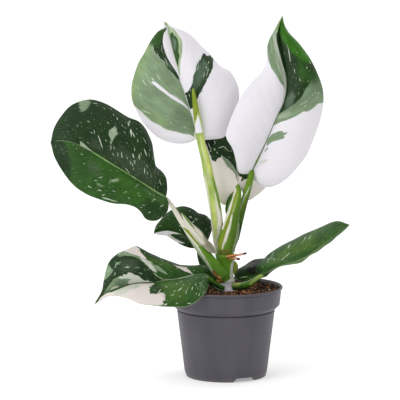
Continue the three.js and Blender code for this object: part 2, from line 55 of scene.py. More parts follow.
class Path:
    """A smooth curve through points, read at a share of its length."""

    def __init__(self, points):
        p = np.array(points, float)
        self.spans = len(p) - 1
        self.points = np.vstack([2 * p[0] - p[1], p, 2 * p[-1] - p[-2]])
        self.steps = np.linspace(0, 1, 401)
        chords = np.linalg.norm(np.diff(self.spot(self.steps), axis=0), axis=1)
        reached = np.concatenate([[0], np.cumsum(chords)])
        self.length = reached[-1]
        self.shares = reached / self.length
        legs = np.linalg.norm(np.diff(p, axis=0), axis=1)
        self.stops = np.concatenate([[0], np.cumsum(legs)]) / legs.sum()

    def spot(self, t):
        """Centripetal Catmull-Rom spline."""
        t = np.clip(np.asarray(t, float), 0, 1) * self.spans
        k = np.minimum(t.astype(int), self.spans - 1)
        u = (t - k)[..., None]
        a, b, c, d = (self.points[k + i] for i in range(4))
        before, here, after = (
            np.sqrt(np.linalg.norm(q - p, axis=-1, keepdims=True)) for p, q in ((a, b), (b, c), (c, d))
        )
        start = ((b - a) / before - (c - a) / (before + here) + (c - b) / here) * here
        end = ((c - b) / here - (d - b) / (here + after) + (d - c) / after) * here
        return b + start * u + (3 * (c - b) - 2 * start - end) * u**2 + (2 * (b - c) + start + end) * u**3

    def at(self, share):
        return self.spot(np.interp(share, self.shares, self.steps))

    def tangent(self, share):
        share = np.asarray(share, float)
        return unit(self.at(np.minimum(share + 1e-3, 1)) - self.at(np.maximum(share - 1e-3, 0)))


def ripple(x, y, z=0.0):
    """Smooth noise from about -0.7 to 0.7, with features one unit wide, for arrays of places."""
    shape = np.broadcast(x, y, z).shape
    flat = np.stack(np.broadcast_arrays(x, y, z), -1).reshape(-1, 3)
    return np.array([noise.noise(Vector(p)) for p in flat]).reshape(shape)


def rise(values, low, high):
    """0 below low, 1 above high and smooth between them."""
    t = np.clip((values - low) / (high - low), 0, 1)
    return t * t * (3 - 2 * t)


# Markings. A place on a leaf is (along, across): along runs from the petiole (0) to the tip (1)
# by the rows of side veins, and across from the left edge (-1) over the midrib (0) to the right
# edge (1). On a stalk, across runs once round it: the left side is at -0.5 and the front at 0.
# A layer of one tint has patches (outlines), lines (along, across, along, across, width in mm),
# a rib (first and last along, width in mm at each) or an edge (its width in mm).

def patch_depth(x, y, corners):
    """How far each place lies inside an outline, in mm. It is negative outside."""
    nearest = np.full(x.shape, 1e3)
    inside = np.zeros(x.shape, bool)
    for (ax, ay), (bx, by) in zip(corners, corners[1:] + corners[:1]):
        dx, dy = bx - ax, by - ay
        share = np.clip(((x - ax) * dx + (y - ay) * dy) / (dx * dx + dy * dy + 1e-9), 0, 1)
        nearest = np.minimum(nearest, np.hypot(x - ax - share * dx, y - ay - share * dy))
        if dy:
            inside ^= ((ay > y) != (by > y)) & (x < ax + (y - ay) * dx / dy)
    return np.where(inside, nearest, -nearest)


def line_depth(x, y, start, end, width):
    """The same for a streak between two places, widest at its middle."""
    dx, dy = end[0] - start[0], end[1] - start[1]
    share = np.clip(((x - start[0]) * dx + (y - start[1]) * dy) / (dx * dx + dy * dy), 0, 1)
    half = width / 2 * (0.5 + 0.5 * np.sin(np.pi * share))
    return half - np.hypot(x - start[0] - share * dx, y - start[1] - share * dy)


def layer_depth(layer, along, across, scale, rib_mm=None, edge_mm=None):
    """How deep each place lies in a layer's markings; scale turns (along, across) into mm."""
    x, y = along * scale[0], across * scale[1]
    depth = np.full(x.shape, -30.0)
    for patch in layer.get("patches", []):
        corners = [(a * scale[0], b * scale[1]) for a, b in patch]
        depth = np.maximum(depth, patch_depth(x, y, corners))
    for a, b, c, d, width in layer.get("lines", []):
        start, end = (a * scale[0], b * scale[1]), (c * scale[0], d * scale[1])
        depth = np.maximum(depth, line_depth(x, y, start, end, width))
    for start, end, wide, narrow in layer.get("rib", []):
        share = (along - start) / (end - start)
        half = (wide + (narrow - wide) * share) / 2
        within = np.minimum(share, 1 - share) * (end - start) * scale[0]
        depth = np.maximum(depth, np.minimum(half - rib_mm, within))
    if "edge" in layer:
        depth = np.maximum(depth, layer["edge"] - edge_mm)
    return depth


# Materials

def linear(hex_colour):
    """An sRGB hex colour as the linear colour that a shader takes."""
    srgb = [int(hex_colour[k:k + 2], 16) / 255 for k in (1, 3, 5)]
    return [*(c / 12.92 if c <= 0.04045 else ((c + 0.055) / 1.055) ** 2.4 for c in srgb), 1.0]


def add(tree, kind, *values, **named):
    """Adds a node and returns its outputs. The values go into its first inputs, in order. Of the
    named ones, a small first letter means a setting, a capital an input with an underscore for
    a space, and an underscore the number of an input. An input takes a value or an output."""
    node = tree.nodes.new("ShaderNode" + kind)
    inputs = dict(enumerate(values))
    for key, value in named.items():
        if key[0].islower():
            setattr(node, key, value)
        else:
            inputs[int(key[1:]) if key[0] == "_" else key.replace("_", " ")] = value
    for key, value in inputs.items():
        if isinstance(value, bpy.types.NodeSocket):
            tree.links.new(value, node.inputs[key])
        else:
            node.inputs[key].default_value = value
    return node.outputs


def new_material(name):
    material = bpy.data.materials.new(name)
    material.use_nodes = True
    material.node_tree.nodes.clear()
    return material, material.node_tree


def finish_material(tree, height, bump_mm, **principled):
    """Ends a material in its shader, with a height from 0 to 1 that stands for bump_mm."""
    bump = add(tree, "Bump", Height=height, Distance=bump_mm * MM, Strength=1.0)[0]
    shader = add(tree, "BsdfPrincipled", Normal=bump, **principled)[0]
    add(tree, "OutputMaterial", Surface=shader)


# Colours of living tissue, and a few painted ones that stand for sheen and shade. White tissue has no
# chlorophyll. Sage tissue has it in the lower cell layers only, so the pale layer above greys it.
TINTS = {
    "white": "#e5e2e8",
    "cream": "#dcd8c8",
    "greige": "#e2dad6",
    "faint": "#c6cabd",
    "ash": "#98a88e",
    "sage": "#7f9575",
    "deep_sage": "#6d8365",
    "sage_lime": "#87a06c",
    "pale": "#a3b592",
    # Painted sheen: grey-green where glossy dark green reflects the light.
    "painted_sheen": "#718572",
    # Painted sheen: a dull grey-green for the reflection on dark green.
    "painted_sheen_on_dark": "#4a5843",
    "pink_white": "#dcd3ce",
    # Painted shade: greige darkened where a cream stalk lies in shade.
    "painted_shade_greige": "#97937f",
    "yellow": "#c3cf70",
    "petiole": "#a6bd62",
    "grass": "#5d8c1f",
    "moss_green": "#668a20",
    "moss": "#4a6a25",
    "olive": "#7d8f22",
    "vivid": "#306a0c",
    "fresh": "#356315",
    "leaf": "#2c521c",
    "dark": "#1b3515",
    # Painted shade: near black where a fold or gap lies in deep shade.
    "deep": "#070d08",
    "brown": "#6b4425",
    "root": "#c48a52",
    "root_pink": "#cf9c86",
    "root_tip": "#3a2c2b",
}
PALE_TINTS = ("white", "pink_white", "cream", "greige", "faint")
ALONG_LEAF = (0.0, 0.09, 0.8)    # grain per mm: fine along the leaf, long along the side veins
ALONG_STALK = (0.9, 0.9, 0.05)   # fine round the stalk, long down it
STREAK_TINT = "#c9d4c0"
UNDERSIDE_TINT = "#a3b48c"
# Flecks: width of the cell that holds one in mm, tint, and how many there are to one large one.
# Those of the right leaf are duller.
FLECKS = ((1.5, "#b9c8ac", 1.0), (0.8, "#86a072", 2.4))
DULL_FLECKS = ((1.4, "#86a466", 1.0), (0.8, "#6f9252", 2.4))


def streak_mask(tree, place, streaks, swing):
    """Covers short streaks on a flat leaf, each a thin ellipse (x, y, x, y, width) in mm."""
    deepest = None
    for ax, ay, bx, by, width in streaks:
        turn = (0.0, 0.0, math.atan2(by - ay, bx - ax))
        size = (math.dist((ax, ay), (bx, by)) / 2 + width / 2, width / 2, 1.0)
        own = add(tree, "Mapping", vector_type="TEXTURE", Vector=place,
                  Location=((ax + bx) / 2, (ay + by) / 2, 0.0), Rotation=turn, Scale=size)[0]
        reach = add(tree, "VectorMath", own, operation="LENGTH")["Value"]
        deepest = reach if deepest is None else add(tree, "Math", deepest, reach, operation="MINIMUM")[0]
    # The edge of an ellipse is at 1, and it is soft over a tenth of its width on either side.
    ragged = add(tree, "Math", deepest, swing, operation="ADD")[0]
    return add(tree, "MapRange", ragged, 1.12, 0.88, interpolation_type="SMOOTHSTEP")[0]


def tissue(name, base, layers=(), streaks=(), grain=ALONG_STALK, vein_mm=0.0, roughness=0.42, dots=FLECKS):
    """Fleshy aroid tissue: a smooth waxy skin over cells, which gives a soft broad gloss.

    The outlines of each layer come in the mesh's attributes zone_0, zone_1 and so on, and jag
    and soft are the raggedness and softness of their edges in mm. Flecks and ragged edges
    follow the grain, as the cells that lost their green divided along the veins. The attribute
    place is in mm: along and across a leaf and its row of side veins, or round and up a stalk.
    """
    material, tree = new_material(name)
    place = add(tree, "Attribute", attribute_name="place")["Vector"]
    grained = add(tree, "VectorMath", place, grain, operation="MULTIPLY")[0]
    jag = add(tree, "TexNoise", Vector=grained, Scale=1.0, Detail=4.0, Roughness=0.65)[0]
    fine = add(tree, "TexNoise", Vector=grained, Scale=2.8, Detail=3.0, Roughness=0.6)[0]
    cloud = add(tree, "TexNoise", Vector=place, Scale=0.06, Detail=3.0, Roughness=0.55)[0]
    swing = add(tree, "Math", jag, 0.5, operation="SUBTRACT")[0]

    # Green tissue varies in tone and shows its veins. Pale tissue stays even.
    colour = linear(TINTS[base])
    green = 0.0 if base in PALE_TINTS else 1.0
    for k, layer in enumerate(layers):
        zone = add(tree, "Attribute", attribute_name=f"zone_{k}")["Fac"]
        ragged = add(tree, "Math", swing, 3.0 * layer.get("jag", 0.6), operation="MULTIPLY")[0]
        depth = add(tree, "Math", zone, ragged, operation="ADD")[0]
        soft = layer.get("soft", 0.35)
        mask = add(tree, "MapRange", depth, -soft, soft, 0.0, layer.get("strength", 1.0),
                   interpolation_type="SMOOTHSTEP")[0]
        tint = linear(TINTS[layer["tint"]])
        colour = add(tree, "Mix", mask, data_type="RGBA", _6=colour, _7=tint)[2]
        own = 0.0 if layer["tint"] in PALE_TINTS else 1.0
        green = add(tree, "Mix", mask, data_type="FLOAT", _2=green, _3=own)[0]
    if streaks:
        ragged = add(tree, "Math", swing, 1.6, operation="MULTIPLY")[0]
        flat = add(tree, "VectorMath", place, (1.0, 1.0, 0.0), operation="MULTIPLY")[0]
        covered = streak_mask(tree, flat, streaks, ragged)
        mask = add(tree, "Math", covered, 0.85, operation="MULTIPLY")[0]
        colour = add(tree, "Mix", mask, data_type="RGBA", _6=colour, _7=linear(STREAK_TINT))[2]
        bare = add(tree, "Math", 1.0, mask, operation="SUBTRACT")[0]
        green = add(tree, "Math", green, bare, operation="MULTIPLY")[0]

    # Flecks are short dashes along the side veins: a few large pale ones and many small dull ones.
    flecks = add(tree, "Attribute", attribute_name="flecks")["Fac"]
    flecks = add(tree, "Math", flecks, green, operation="MULTIPLY")[0]
    for size_mm, tint, share in dots:
        per_cell = (0.0, 0.4 / size_mm, 1 / size_mm)
        stretched = add(tree, "VectorMath", place, per_cell, operation="MULTIPLY")[0]
        cell = add(tree, "TexVoronoi", Vector=stretched, Scale=1.0, Randomness=1.0)
        pick = add(tree, "SeparateXYZ", cell["Color"])
        many = add(tree, "Math", flecks, share, operation="MULTIPLY")[0]
        chosen = add(tree, "Math", pick[0], many, operation="LESS_THAN")[0]
        square = add(tree, "Math", pick[1], pick[1], operation="MULTIPLY")[0]
        reach = add(tree, "Math", square, 0.34, operation="MULTIPLY")[0]
        inside = add(tree, "Math", reach, cell["Distance"], operation="SUBTRACT")[0]
        dot = add(tree, "MapRange", inside, -0.06, 0.06, interpolation_type="SMOOTHSTEP")[0]
        mask = add(tree, "Math", chosen, dot, operation="MULTIPLY")[0]
        colour = add(tree, "Mix", mask, data_type="RGBA", _6=colour, _7=linear(tint))[2]

    height = fine
    if vein_mm:
        vein_row = add(tree, "SeparateXYZ", place)[2]
        row = add(tree, "Math", vein_row, vein_mm, operation="DIVIDE")[0]
        drift = add(tree, "Math", cloud, 2.0, operation="MULTIPLY")[0]
        phase = add(tree, "Math", row, drift, operation="ADD")[0]
        away = add(tree, "Math", phase, 0.5, operation="PINGPONG")[0]
        vein = add(tree, "MapRange", away, 0.12, 0.0, interpolation_type="SMOOTHSTEP")[0]
        shown = add(tree, "Math", vein, green, operation="MULTIPLY")[0]
        mask = add(tree, "Math", shown, 0.02, operation="MULTIPLY")[0]
        colour = add(tree, "Mix", mask, data_type="RGBA", _6=colour, _7=linear(TINTS["pale"]))[2]
        sunk = add(tree, "Math", fine, vein, operation="SUBTRACT")[0]
        height = add(tree, "Math", sunk, 0.35, operation="MULTIPLY")[0]

    cells = add(tree, "MapRange", jag, 0.3, 0.7, 0.85, 1.13, interpolation_type="SMOOTHSTEP")[0]
    areas = add(tree, "MapRange", cloud, 0.3, 0.7, 0.86, 1.12, interpolation_type="SMOOTHSTEP")[0]
    tone = add(tree, "Math", cells, areas, operation="MULTIPLY")[0]
    tone = add(tree, "Mix", green, data_type="FLOAT", _2=1.0, _3=tone)[0]
    colour = add(tree, "HueSaturation", Color=colour, Value=tone)[0]
    # The underside of a blade is paler and duller than its upper face.
    under = add(tree, "Attribute", attribute_name="under")["Fac"]
    duller = add(tree, "Math", green, 0.4, operation="MULTIPLY")[0]
    mask = add(tree, "Math", under, duller, operation="MULTIPLY")[0]
    colour = add(tree, "Mix", mask, data_type="RGBA", _6=colour, _7=linear(UNDERSIDE_TINT))[2]
    finish_material(
        tree, height, 0.12 if vein_mm else 0.1,
        Base_Color=colour,
        Roughness=roughness,
        IOR=1.38,
        Specular_IOR_Level=0.27,
        Subsurface_Weight=0.1,
        Subsurface_Radius=(1.0, 1.0, 0.5),
        Subsurface_Scale=1.2 * MM,
    )
    return material


# Pieces

def make_piece(name, points, faces, material, nodes=(), attributes=None, place=None, crease=50):
    """A smooth mesh in the model's frame, given in mm, that stands for model nodes."""
    mesh = bpy.data.meshes.new(name)
    mesh.from_pydata((np.asarray(points) * MM).tolist(), [], faces)
    mesh.shade_smooth()
    mesh.set_sharp_from_angle(angle=math.radians(crease))
    mesh.materials.append(material)
    for key, values in (attributes or {}).items():
        mesh.attributes.new(key, "FLOAT", "POINT").data.foreach_set("value", np.ravel(values))
    if place is not None:
        mesh.attributes.new("place", "FLOAT_VECTOR", "POINT").data.foreach_set("vector", np.ravel(place))
    piece = bpy.data.objects.new(name, mesh)
    bpy.context.collection.objects.link(piece)
    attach(piece, "root")
    if nodes:
        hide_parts(*nodes)
    return piece


def ring_faces(rings, count):
    """Faces of a stack of closed rings, from the first ring to the last."""
    i, j = np.meshgrid(np.arange(rings - 1), np.arange(count), indexing="ij")
    a, b = i * count + j, i * count + (j + 1) % count
    return np.stack([a, b, b + count, a + count], -1).reshape(-1, 4).tolist()


def loft(rings):
    """Points and faces of a tube of rings (rings, count, 3), closed by a point at each end."""
    levels, count = rings.shape[:2]
    points = np.vstack([rings.reshape(-1, 3), rings[0].mean(0), rings[-1].mean(0)])
    faces = ring_faces(levels, count)
    first, last, top = levels * count, levels * count + 1, (levels - 1) * count
    for j in range(count):
        following = (j + 1) % count
        faces.append([first, following, j])
        faces.append([last, top + j, top + following])
    return points, faces


def with_ends(grid):
    """Appends the values for the two end points of a loft to a grid of values."""
    flat = grid.reshape(-1, *grid.shape[2:])
    return np.concatenate([flat, grid[:1].mean(1), grid[-1:].mean(1)])


# Stalks: the curve along the middle, the radius at each of its points, the model nodes that the
# piece stands for where it isn't its own alone, and the leaf whose midrib the petiole runs into.

STALKS = {
    # The new leaf is still rolled, and it stands on this petiole.
    "petiole_upper_left": dict(
        path=[
            [-7, 9.5, 130.3], [-7.5, 9.2, 137], [-8.5, 7.5, 145.5], [-9, 4, 158.7], [-11, 0.5, 176.3],
            [-14, -2, 192.6], [-18, -4.5, 210.8], [-21.5, -6.5, 229.6], [-25, -7.3, 242.5],
            [-27.5, -7.5, 255.9], [-29.5, -7.5, 269.9], [-31.5, -7, 282.3], [-33, -6.5, 292.8],
            [-34, -6, 300.3], [-34.5, -6, 304.8],
        ],
        radii=[4.6, 5, 5.6, 6.4, 6.4, 6.2, 5.6, 4.8, 4.3, 4.3, 3.9, 3.3, 2.5, 1.9, 1],
        nodes=["petiole_upper_left", "new_leaf_spear"],
    ),
    "petiole_back": dict(
        path=[
            [-0.5, -2.5, 130.3], [-0.5, -3, 138.5], [1.5, -4, 147.3], [4.5, -4, 159.7], [8, -3, 174.7],
            [11, -2, 187.1], [12.5, 0, 196.7], [12.5, 1.7, 200.2],
        ],
        radii=[7.4, 8.6, 8.9, 8, 6.6, 5.2, 3.6, 2.6],
        leaf="leaf_back",
    ),
    "petiole_upper_right": dict(
        path=[
            [5, 10.2, 130.4], [6.5, 10.5, 137], [10, 10, 146.1], [14, 8.5, 162.4], [17.5, 7, 177.2],
            [21.5, 4.5, 193.4], [24.5, 2, 205.2], [26.5, -0.3, 213.5],
        ],
        radii=[4.2, 4.3, 4.3, 4, 3.9, 3.8, 3.6, 3],
        leaf="leaf_upper_right",
    ),
    "petiole_left": dict(
        path=[
            [-4, -14.2, 108], [-9.5, -15, 115.5], [-18, -16, 126.9], [-28.5, -17, 140.2],
            [-39.5, -17, 156.5], [-49.5, -15, 171], [-56, -12.5, 181.1], [-62.6, -12.2, 190],
        ],
        radii=[6.4, 6.4, 5.8, 5, 4, 3, 2.3, 1.9],
        leaf="leaf_left",
    ),
    "petiole_small": dict(
        path=[
            [-11.5, 4.5, 99.5], [-17, 7.5, 104.9], [-22.5, 10, 113], [-26.5, 13, 123], [-28, 15, 131.5],
            [-28.7, 14.6, 138],
        ],
        radii=[4.2, 4.2, 4, 3.6, 3, 2.4],
        leaf="leaf_small",
    ),
    "petiole_lower_left": dict(
        path=[
            [-2.5, -11.4, 94], [-9.5, -13, 96.9], [-16.5, -15, 103.3], [-22.1, -15.9, 108.6],
        ],
        radii=[3.3, 3.6, 3.7, 3],
        leaf="leaf_lower_left",
    ),
    "petiole_right": dict(
        path=[
            [7.4, -3.8, 95.4], [14.5, -7, 96.4], [22, -10, 98.4], [30.5, -11.5, 103.4],
            [35.9, -11.5, 107.5],
        ],
        radii=[3.8, 3.8, 3.6, 3.2, 2.4],
        leaf="leaf_right",
    ),
    "bud_right": dict(
        path=[[7.4, -1, 109.5], [9.2, -1.5, 113], [10, -1.5, 117.3], [9.2, -1, 121.8]],
        radii=[2.1, 3.2, 3.0, 0.8],
    ),
    "aerial_root_long": dict(
        path=[[0.5, -10.9, 128.2], [6, -12.9, 129.7], [13, -14.5, 130.9], [21.3, -16, 132.8]],
        radii=[1.4, 1.4, 1.3, 1.1],
    ),
    "aerial_root_short": dict(
        path=[[3.5, -9.4, 126.2], [8.5, -12, 127], [14.3, -14, 126]],
        radii=[1.4, 1.4, 1.2],
    ),
}

STALK_SIDES = 48
STALK_STEP = 1.8     # mm between the rings of a stalk

# Looks of each stalk: slot, base tint, length ribs (count and depth as a share of the radius),
# channel as the share of the radius by which the front is sunk, and layers from the first up.
STALK_LOOKS = {
    "petiole_upper_left": dict(
        slot="petiole_pale_green", base="petiole", ribs=(9, 0.035), channel=0.2,
        layers=[
            dict(tint="grass", soft=1.6, strength=0.4, patches=[
                [(0.83, -0.62), (0.98, -0.62), (1.08, 0.5), (0.93, 0.29), (0.88, -0.28), (0.79, -0.62)]]),
            dict(tint="cream", soft=0.7, jag=0.8, strength=0.9, patches=[
                [(0.51, -0.22), (0.47, -0.18), (0.4, -0.2), (0.32, -0.28), (0.23, -0.33), (0.14, -0.24),
                 (0.01, -0.24), (0.02, -0.62), (0.34, -0.62)]]),
            dict(tint="yellow", soft=1.2, jag=1.0, patches=[
                [(0.36, -0.09), (0.33, -0.03), (0.24, 0), (0.17, -0.03), (0.13, -0.12), (0.17, -0.22),
                 (0.27, -0.21)],
                [(0.72, -0.07), (0.72, 0.41), (0.58, 0.33), (0.47, 0.32), (0.47, 0.07), (0.58, -0.03)]]),
            dict(tint="cream", soft=0.9, jag=1.0, patches=[
                [(0.39, 0.15), (0.37, 0.22), (0.31, 0.18), (0.24, 0.29), (0.2, 0.49), (0.16, 0.19),
                 (0.09, 0), (0.01, -0.18), (0.01, -0.5), (0.1, -0.12), (0.15, -0.02), (0.24, 0.03),
                 (0.31, 0.05)]]),
            dict(tint="grass", soft=0.6, strength=0.8, patches=[
                [(0.49, 0.23), (0.46, 0.32), (0.41, 0.34), (0.34, 0.43), (0.27, 0.5), (0.21, 0.62),
                 (0.21, 0.49), (0.28, 0.23), (0.34, 0.18), (0.41, 0.18)]]),
            dict(tint="cream", soft=1.2, strength=0.35, lines=[
                (0.71, 0.04, 0.55, -0.06, 2.3), (0.53, -0.02, 0.43, 0.02, 2.3)]),
            dict(tint="grass", soft=0.6, strength=0.55, lines=[
                (0.64, -0.41, 0.47, -0.34, 0.9), (0.63, 0.5, 0.51, 0.31, 0.8)]),
            dict(tint="olive", soft=1.6, strength=0.85, patches=[
                [(0.8, -0.62), (0.94, -0.62), (1.08, 0.5), (0.94, 0.62), (0.86, 0.18), (0.82, -0.14),
                 (0.78, -0.62)]]),
            dict(tint="white", soft=0.35, jag=0.7, patches=[
                [(0.85, 0.1), (0.84, 0.16), (0.8, 0.21), (0.76, 0.28), (0.74, 0.34), (0.74, -0.62),
                 (0.76, -0.62), (0.79, -0.31), (0.82, -0.07)]]),
            dict(tint="grass", soft=0.5, strength=0.6, lines=[
                (0.94, -0.5, 0.81, -0.62, 0.7), (0.93, 0.23, 0.85, 0.25, 0.7)]),
        ],
    ),
    "petiole_back": dict(
        slot="stem", base="moss_green", ribs=(8, 0.03), channel=0.2,
        layers=[
            dict(tint="leaf", soft=1.8, strength=0.4, patches=[
                [(0.57, -0.05), (0.81, 0.08), (0.93, 0.48), (0.88, 0.62), (0.65, 0.47), (0.36, 0.32),
                 (0.06, 0.32), (0.08, 0.11), (0.3, 0.02)]]),
            dict(tint="olive", soft=1.3, patches=[
                [(0.27, -0.23), (0.45, -0.28), (0.68, -0.26), (0.93, -0.26), (0.96, 0.05),
                 (0.77, -0.01), (0.54, -0.07), (0.28, -0.07), (0.07, -0.15), (0.05, -0.62), (0.14, -0.5)]]),
            dict(tint="cream", soft=0.5, jag=0.8, patches=[
                [(0.35, -0.62), (0.47, -0.62), (0.61, -0.62), (0.84, -0.62), (0.96, -0.62),
                 (0.98, -0.17), (0.93, -0.17), (0.85, -0.26), (0.64, -0.21), (0.49, -0.28),
                 (0.34, -0.32)],
                [(0.6, -0.1), (0.48, -0.09), (0.35, -0.12), (0.23, -0.13), (0.07, -0.17), (0.08, -0.11),
                 (0.22, -0.03), (0.35, 0), (0.49, -0.01), (0.59, -0.05)]]),
            dict(tint="pale", soft=0.4, strength=0.6, lines=[
                (0.74, -0.01, 0.57, -0.07, 0.7), (0.91, 0.01, 0.71, -0.07, 0.5)]),
            dict(tint="brown", soft=1.6, strength=0.5, patches=[
                [(0.05, -0.45), (0.08, -0.06), (0.06, 0.2), (-0.08, 0.23), (-0.08, -0.15),
                 (-0.08, -0.45)]]),
        ],
    ),
    "petiole_upper_right": dict(
        slot="petiole_dark", base="moss_green", ribs=(7, 0.03), channel=0.15,
        layers=[
            dict(tint="leaf", soft=1.2, strength=0.6, patches=[
                [(0.5, -0.03), (0.69, 0.1), (0.82, 0.24), (0.87, 0.62), (0.82, 0.62), (0.63, 0.48),
                 (0.45, 0.25), (0.27, 0.27), (0.01, 0.62), (0.01, 0.19), (0.27, 0)]]),
            dict(tint="brown", soft=0.8, strength=0.6, patches=[
                [(0.93, 0.49), (0.81, 0.62), (0.69, 0.27), (0.57, 0.12), (0.57, 0.5), (0.74, 0.62),
                 (0.9, 0.62)]]),
            dict(tint="dark", soft=0.8, patches=[
                [(0.4, 0.08), (0.4, 0.24), (0.18, 0.62), (0.01, 0.62), (0.01, 0.48), (0.15, 0.34),
                 (0.27, 0.21)]]),
            dict(tint="faint", soft=0.35, jag=0.5, lines=[
                (0.49, -0.24, 0.6, -0.22, 1.5), (0.6, -0.22, 0.87, 0.12, 1)]),
            dict(tint="pale", soft=0.5, jag=0.5, lines=[(0.37, -0.03, 0.01, 0.26, 3.1)]),
        ],
    ),
    "petiole_left": dict(
        slot="petiole_cream", base="cream", ribs=(7, 0.035), channel=0.2,
        layers=[
            # Painted shade on the back of the petiole's upper end.
            dict(tint="painted_shade_greige", soft=1.0, strength=0.6, patches=[
                [(0.72, 0.2), (1.1, 0.2), (1.1, 1.1), (0.72, 1.1)]]),
            dict(tint="olive", soft=0.5, jag=0.9, patches=[
                [(0.66, -0.26), (0.64, -0.07), (0.6, 0.05), (0.55, 0.08), (0.5, 0.09), (0.45, 0.13),
                 (0.41, 0.17), (0.41, 0.04), (0.46, -0.03), (0.52, -0.09), (0.58, -0.15)]]),
            dict(tint="grass", soft=0.45, jag=2.2, patches=[
                [(0.41, 0.02), (0.41, 0.18), (0.39, 0.13), (0.41, 0.41), (0.39, 0.41), (0.37, 0.62),
                 (0.32, 0.62), (0.25, 0.62), (0.15, 0.5), (0.06, 0.62), (-0.08, 0.5), (-0.08, 0.27),
                 (-0.08, -0.09), (-0.08, -0.45), (0.08, -0.5), (0.17, -0.23), (0.25, -0.18),
                 (0.33, -0.1)]]),
            dict(tint="leaf", soft=1.8, strength=0.35, patches=[
                [(0.19, 0.1), (0.15, 0.32), (0.04, 0.45), (-0.08, 0.28), (-0.08, -0.14), (0.07, -0.18),
                 (0.17, -0.13)]]),
            dict(tint="pale", soft=0.4, patches=[
                [(0.91, -0.62), (0.9, -0.62), (0.82, -0.62), (0.74, -0.62), (0.61, -0.47),
                 (0.52, -0.24), (0.42, -0.14), (0.32, -0.17), (0.23, -0.19), (0.1, -0.21), (0.1, -0.47),
                 (0.22, -0.62), (0.35, -0.62), (0.47, -0.62), (0.6, -0.62)]]),
            dict(tint="leaf", soft=0.6, patches=[
                [(0.02, -1.3), (0.42, -1.3), (0.46, -0.75), (0.3, -0.56), (0.1, -0.5)]]),
            dict(tint="pale", soft=0.3, strength=0.9, lines=[
                (0.4, 0.5, 0.24, 0.5, 1), (0.24, 0.5, 0.12, 0.5, 0.8)]),
            dict(tint="brown", soft=0.7, jag=1.5, strength=0.8, patches=[
                [(0.12, -0.34), (0.12, -0.16), (0.08, -0.12), (0.04, -0.15), (0, -0.07), (-0.08, -0.18),
                 (-0.08, -0.4), (0.07, -0.62)]]),
            dict(tint="root", soft=0.5, jag=1.2, lines=[
                (0.1, -0.3, 0.05, -0.28, 1.5), (0.04, -0.21, 0, -0.08, 1.7)]),
        ],
    ),
    "petiole_small": dict(
        slot="petiole_dark", base="leaf", ribs=(6, 0.03), channel=0.15,
        layers=[
            dict(tint="fresh", soft=1.8, strength=0.7, patches=[
                [(0.92, -0.02), (0.79, 0.5), (0.51, 0.62), (0.23, 0.5), (0.29, 0.02), (0.54, 0.09)]]),
            dict(tint="dark", soft=1.2, strength=0.8, patches=[
                [(0.94, -0.31), (0.8, 0.03), (0.55, 0.01), (0.33, -0.21), (0.38, -0.62), (0.68, -0.62)]]),
        ],
    ),
    "petiole_lower_left": dict(
        slot="petiole_dark", base="fresh", ribs=(6, 0.04), channel=0.25,
        layers=[
            dict(tint="dark", soft=1.2, patches=[
                [(0.81, -0.22), (0.65, 0.06), (0.34, 0.18), (-0.08, -0.04), (0.28, -0.46), (0.65, -0.62)]]),
            dict(tint="grass", soft=0.8, strength=0.6, patches=[
                [(1.08, 0.12), (0.84, 0.39), (0.55, 0.62), (0.19, 0.5), (0.47, 0.21), (0.79, 0.01),
                 (0.95, -0.19)]]),
            dict(tint="pale", soft=0.5, jag=0.8, patches=[
                [(1.08, 0.5), (1, 0.16), (0.87, 0.18), (0.89, -0.25), (1.08, -0.22)]]),
            dict(tint="pale", soft=0.3, strength=0.8, lines=[
                (0.78, -0.62, 0.44, -0.15, 0.9), (0.47, -0.16, 0, -0.13, 0.8)]),
        ],
    ),
    "petiole_right": dict(
        slot="stem", base="leaf", ribs=(6, 0.03), channel=0.2,
        layers=[
            # Painted shade: near black inside the fold where the stalk meets the leaf.
            dict(tint="deep", soft=0.6, patches=[
                [(0.34, -0.62), (0.59, -0.62), (0.84, -0.62), (0.76, -0.32), (0.51, -0.43), (0.34, -0.5)]]),
            dict(tint="grass", soft=1.0, strength=0.8, patches=[
                [(0.3, -0.18), (0.51, -0.28), (0.71, -0.28), (0.61, 0.05), (0.42, 0.03)]]),
            # Painted highlights: lighter yellow-green where the light catches the stalk, near the leaf and
            # near the stem.
            dict(tint="petiole", soft=1.6, jag=1.0, strength=0.85, patches=[
                [(0.6, -0.12), (0.73, -0.28), (0.89, -0.38), (1.08, -0.5), (1.08, -0.18), (1.08, 0.5),
                 (0.87, 0.11), (0.72, 0.12), (0.58, 0.33)],
                [(-0.08, -0.5), (0.19, -0.62), (0.3, -0.62), (0.31, -0.2), (0.23, -0.03), (-0.08, -0.03)]]),
            # Painted highlight: a pale line along the lip of the fold.
            dict(tint="pale", soft=0.4, strength=0.9, lines=[
                (0.31, -0.31, 0.55, -0.39, 0.9), (0.55, -0.39, 0.82, -0.5, 1.1)]),
        ],
    ),
    "bud_right": dict(
        slot="stem", base="olive", ribs=(5, 0.05), channel=0,
        layers=[
            dict(tint="leaf", soft=1.2, strength=0.6, patches=[
                [(-0.1, -0.6), (0.9, -0.5), (0.7, -0.2), (0.3, -0.1), (-0.1, 0)]]),
            dict(tint="pale", soft=0.3, strength=0.5, patches=[
                [(0.2, 0.12), (0.8, 0.1), (0.7, 0.22), (0.3, 0.24)]]),
        ],
    ),
    "aerial_root_long": dict(
        slot="aerial_root", base="root", ribs=(5, 0.09), channel=0,
        layers=[
            dict(tint="root_pink", soft=1.2, patches=[
                [(0.55, -1.3), (0.9, -1.3), (0.9, 1.3), (0.55, 1.3)]]),
            dict(tint="brown", soft=0.8, jag=1.5, strength=0.6, patches=[
                [(0.1, 0.1), (0.5, 0.15), (0.5, 0.9), (0.1, 0.9)]]),
            dict(tint="root_tip", soft=0.6, patches=[
                [(0.86, -1.3), (1.2, -1.3), (1.2, 1.3), (0.86, 1.3)]]),
        ],
    ),
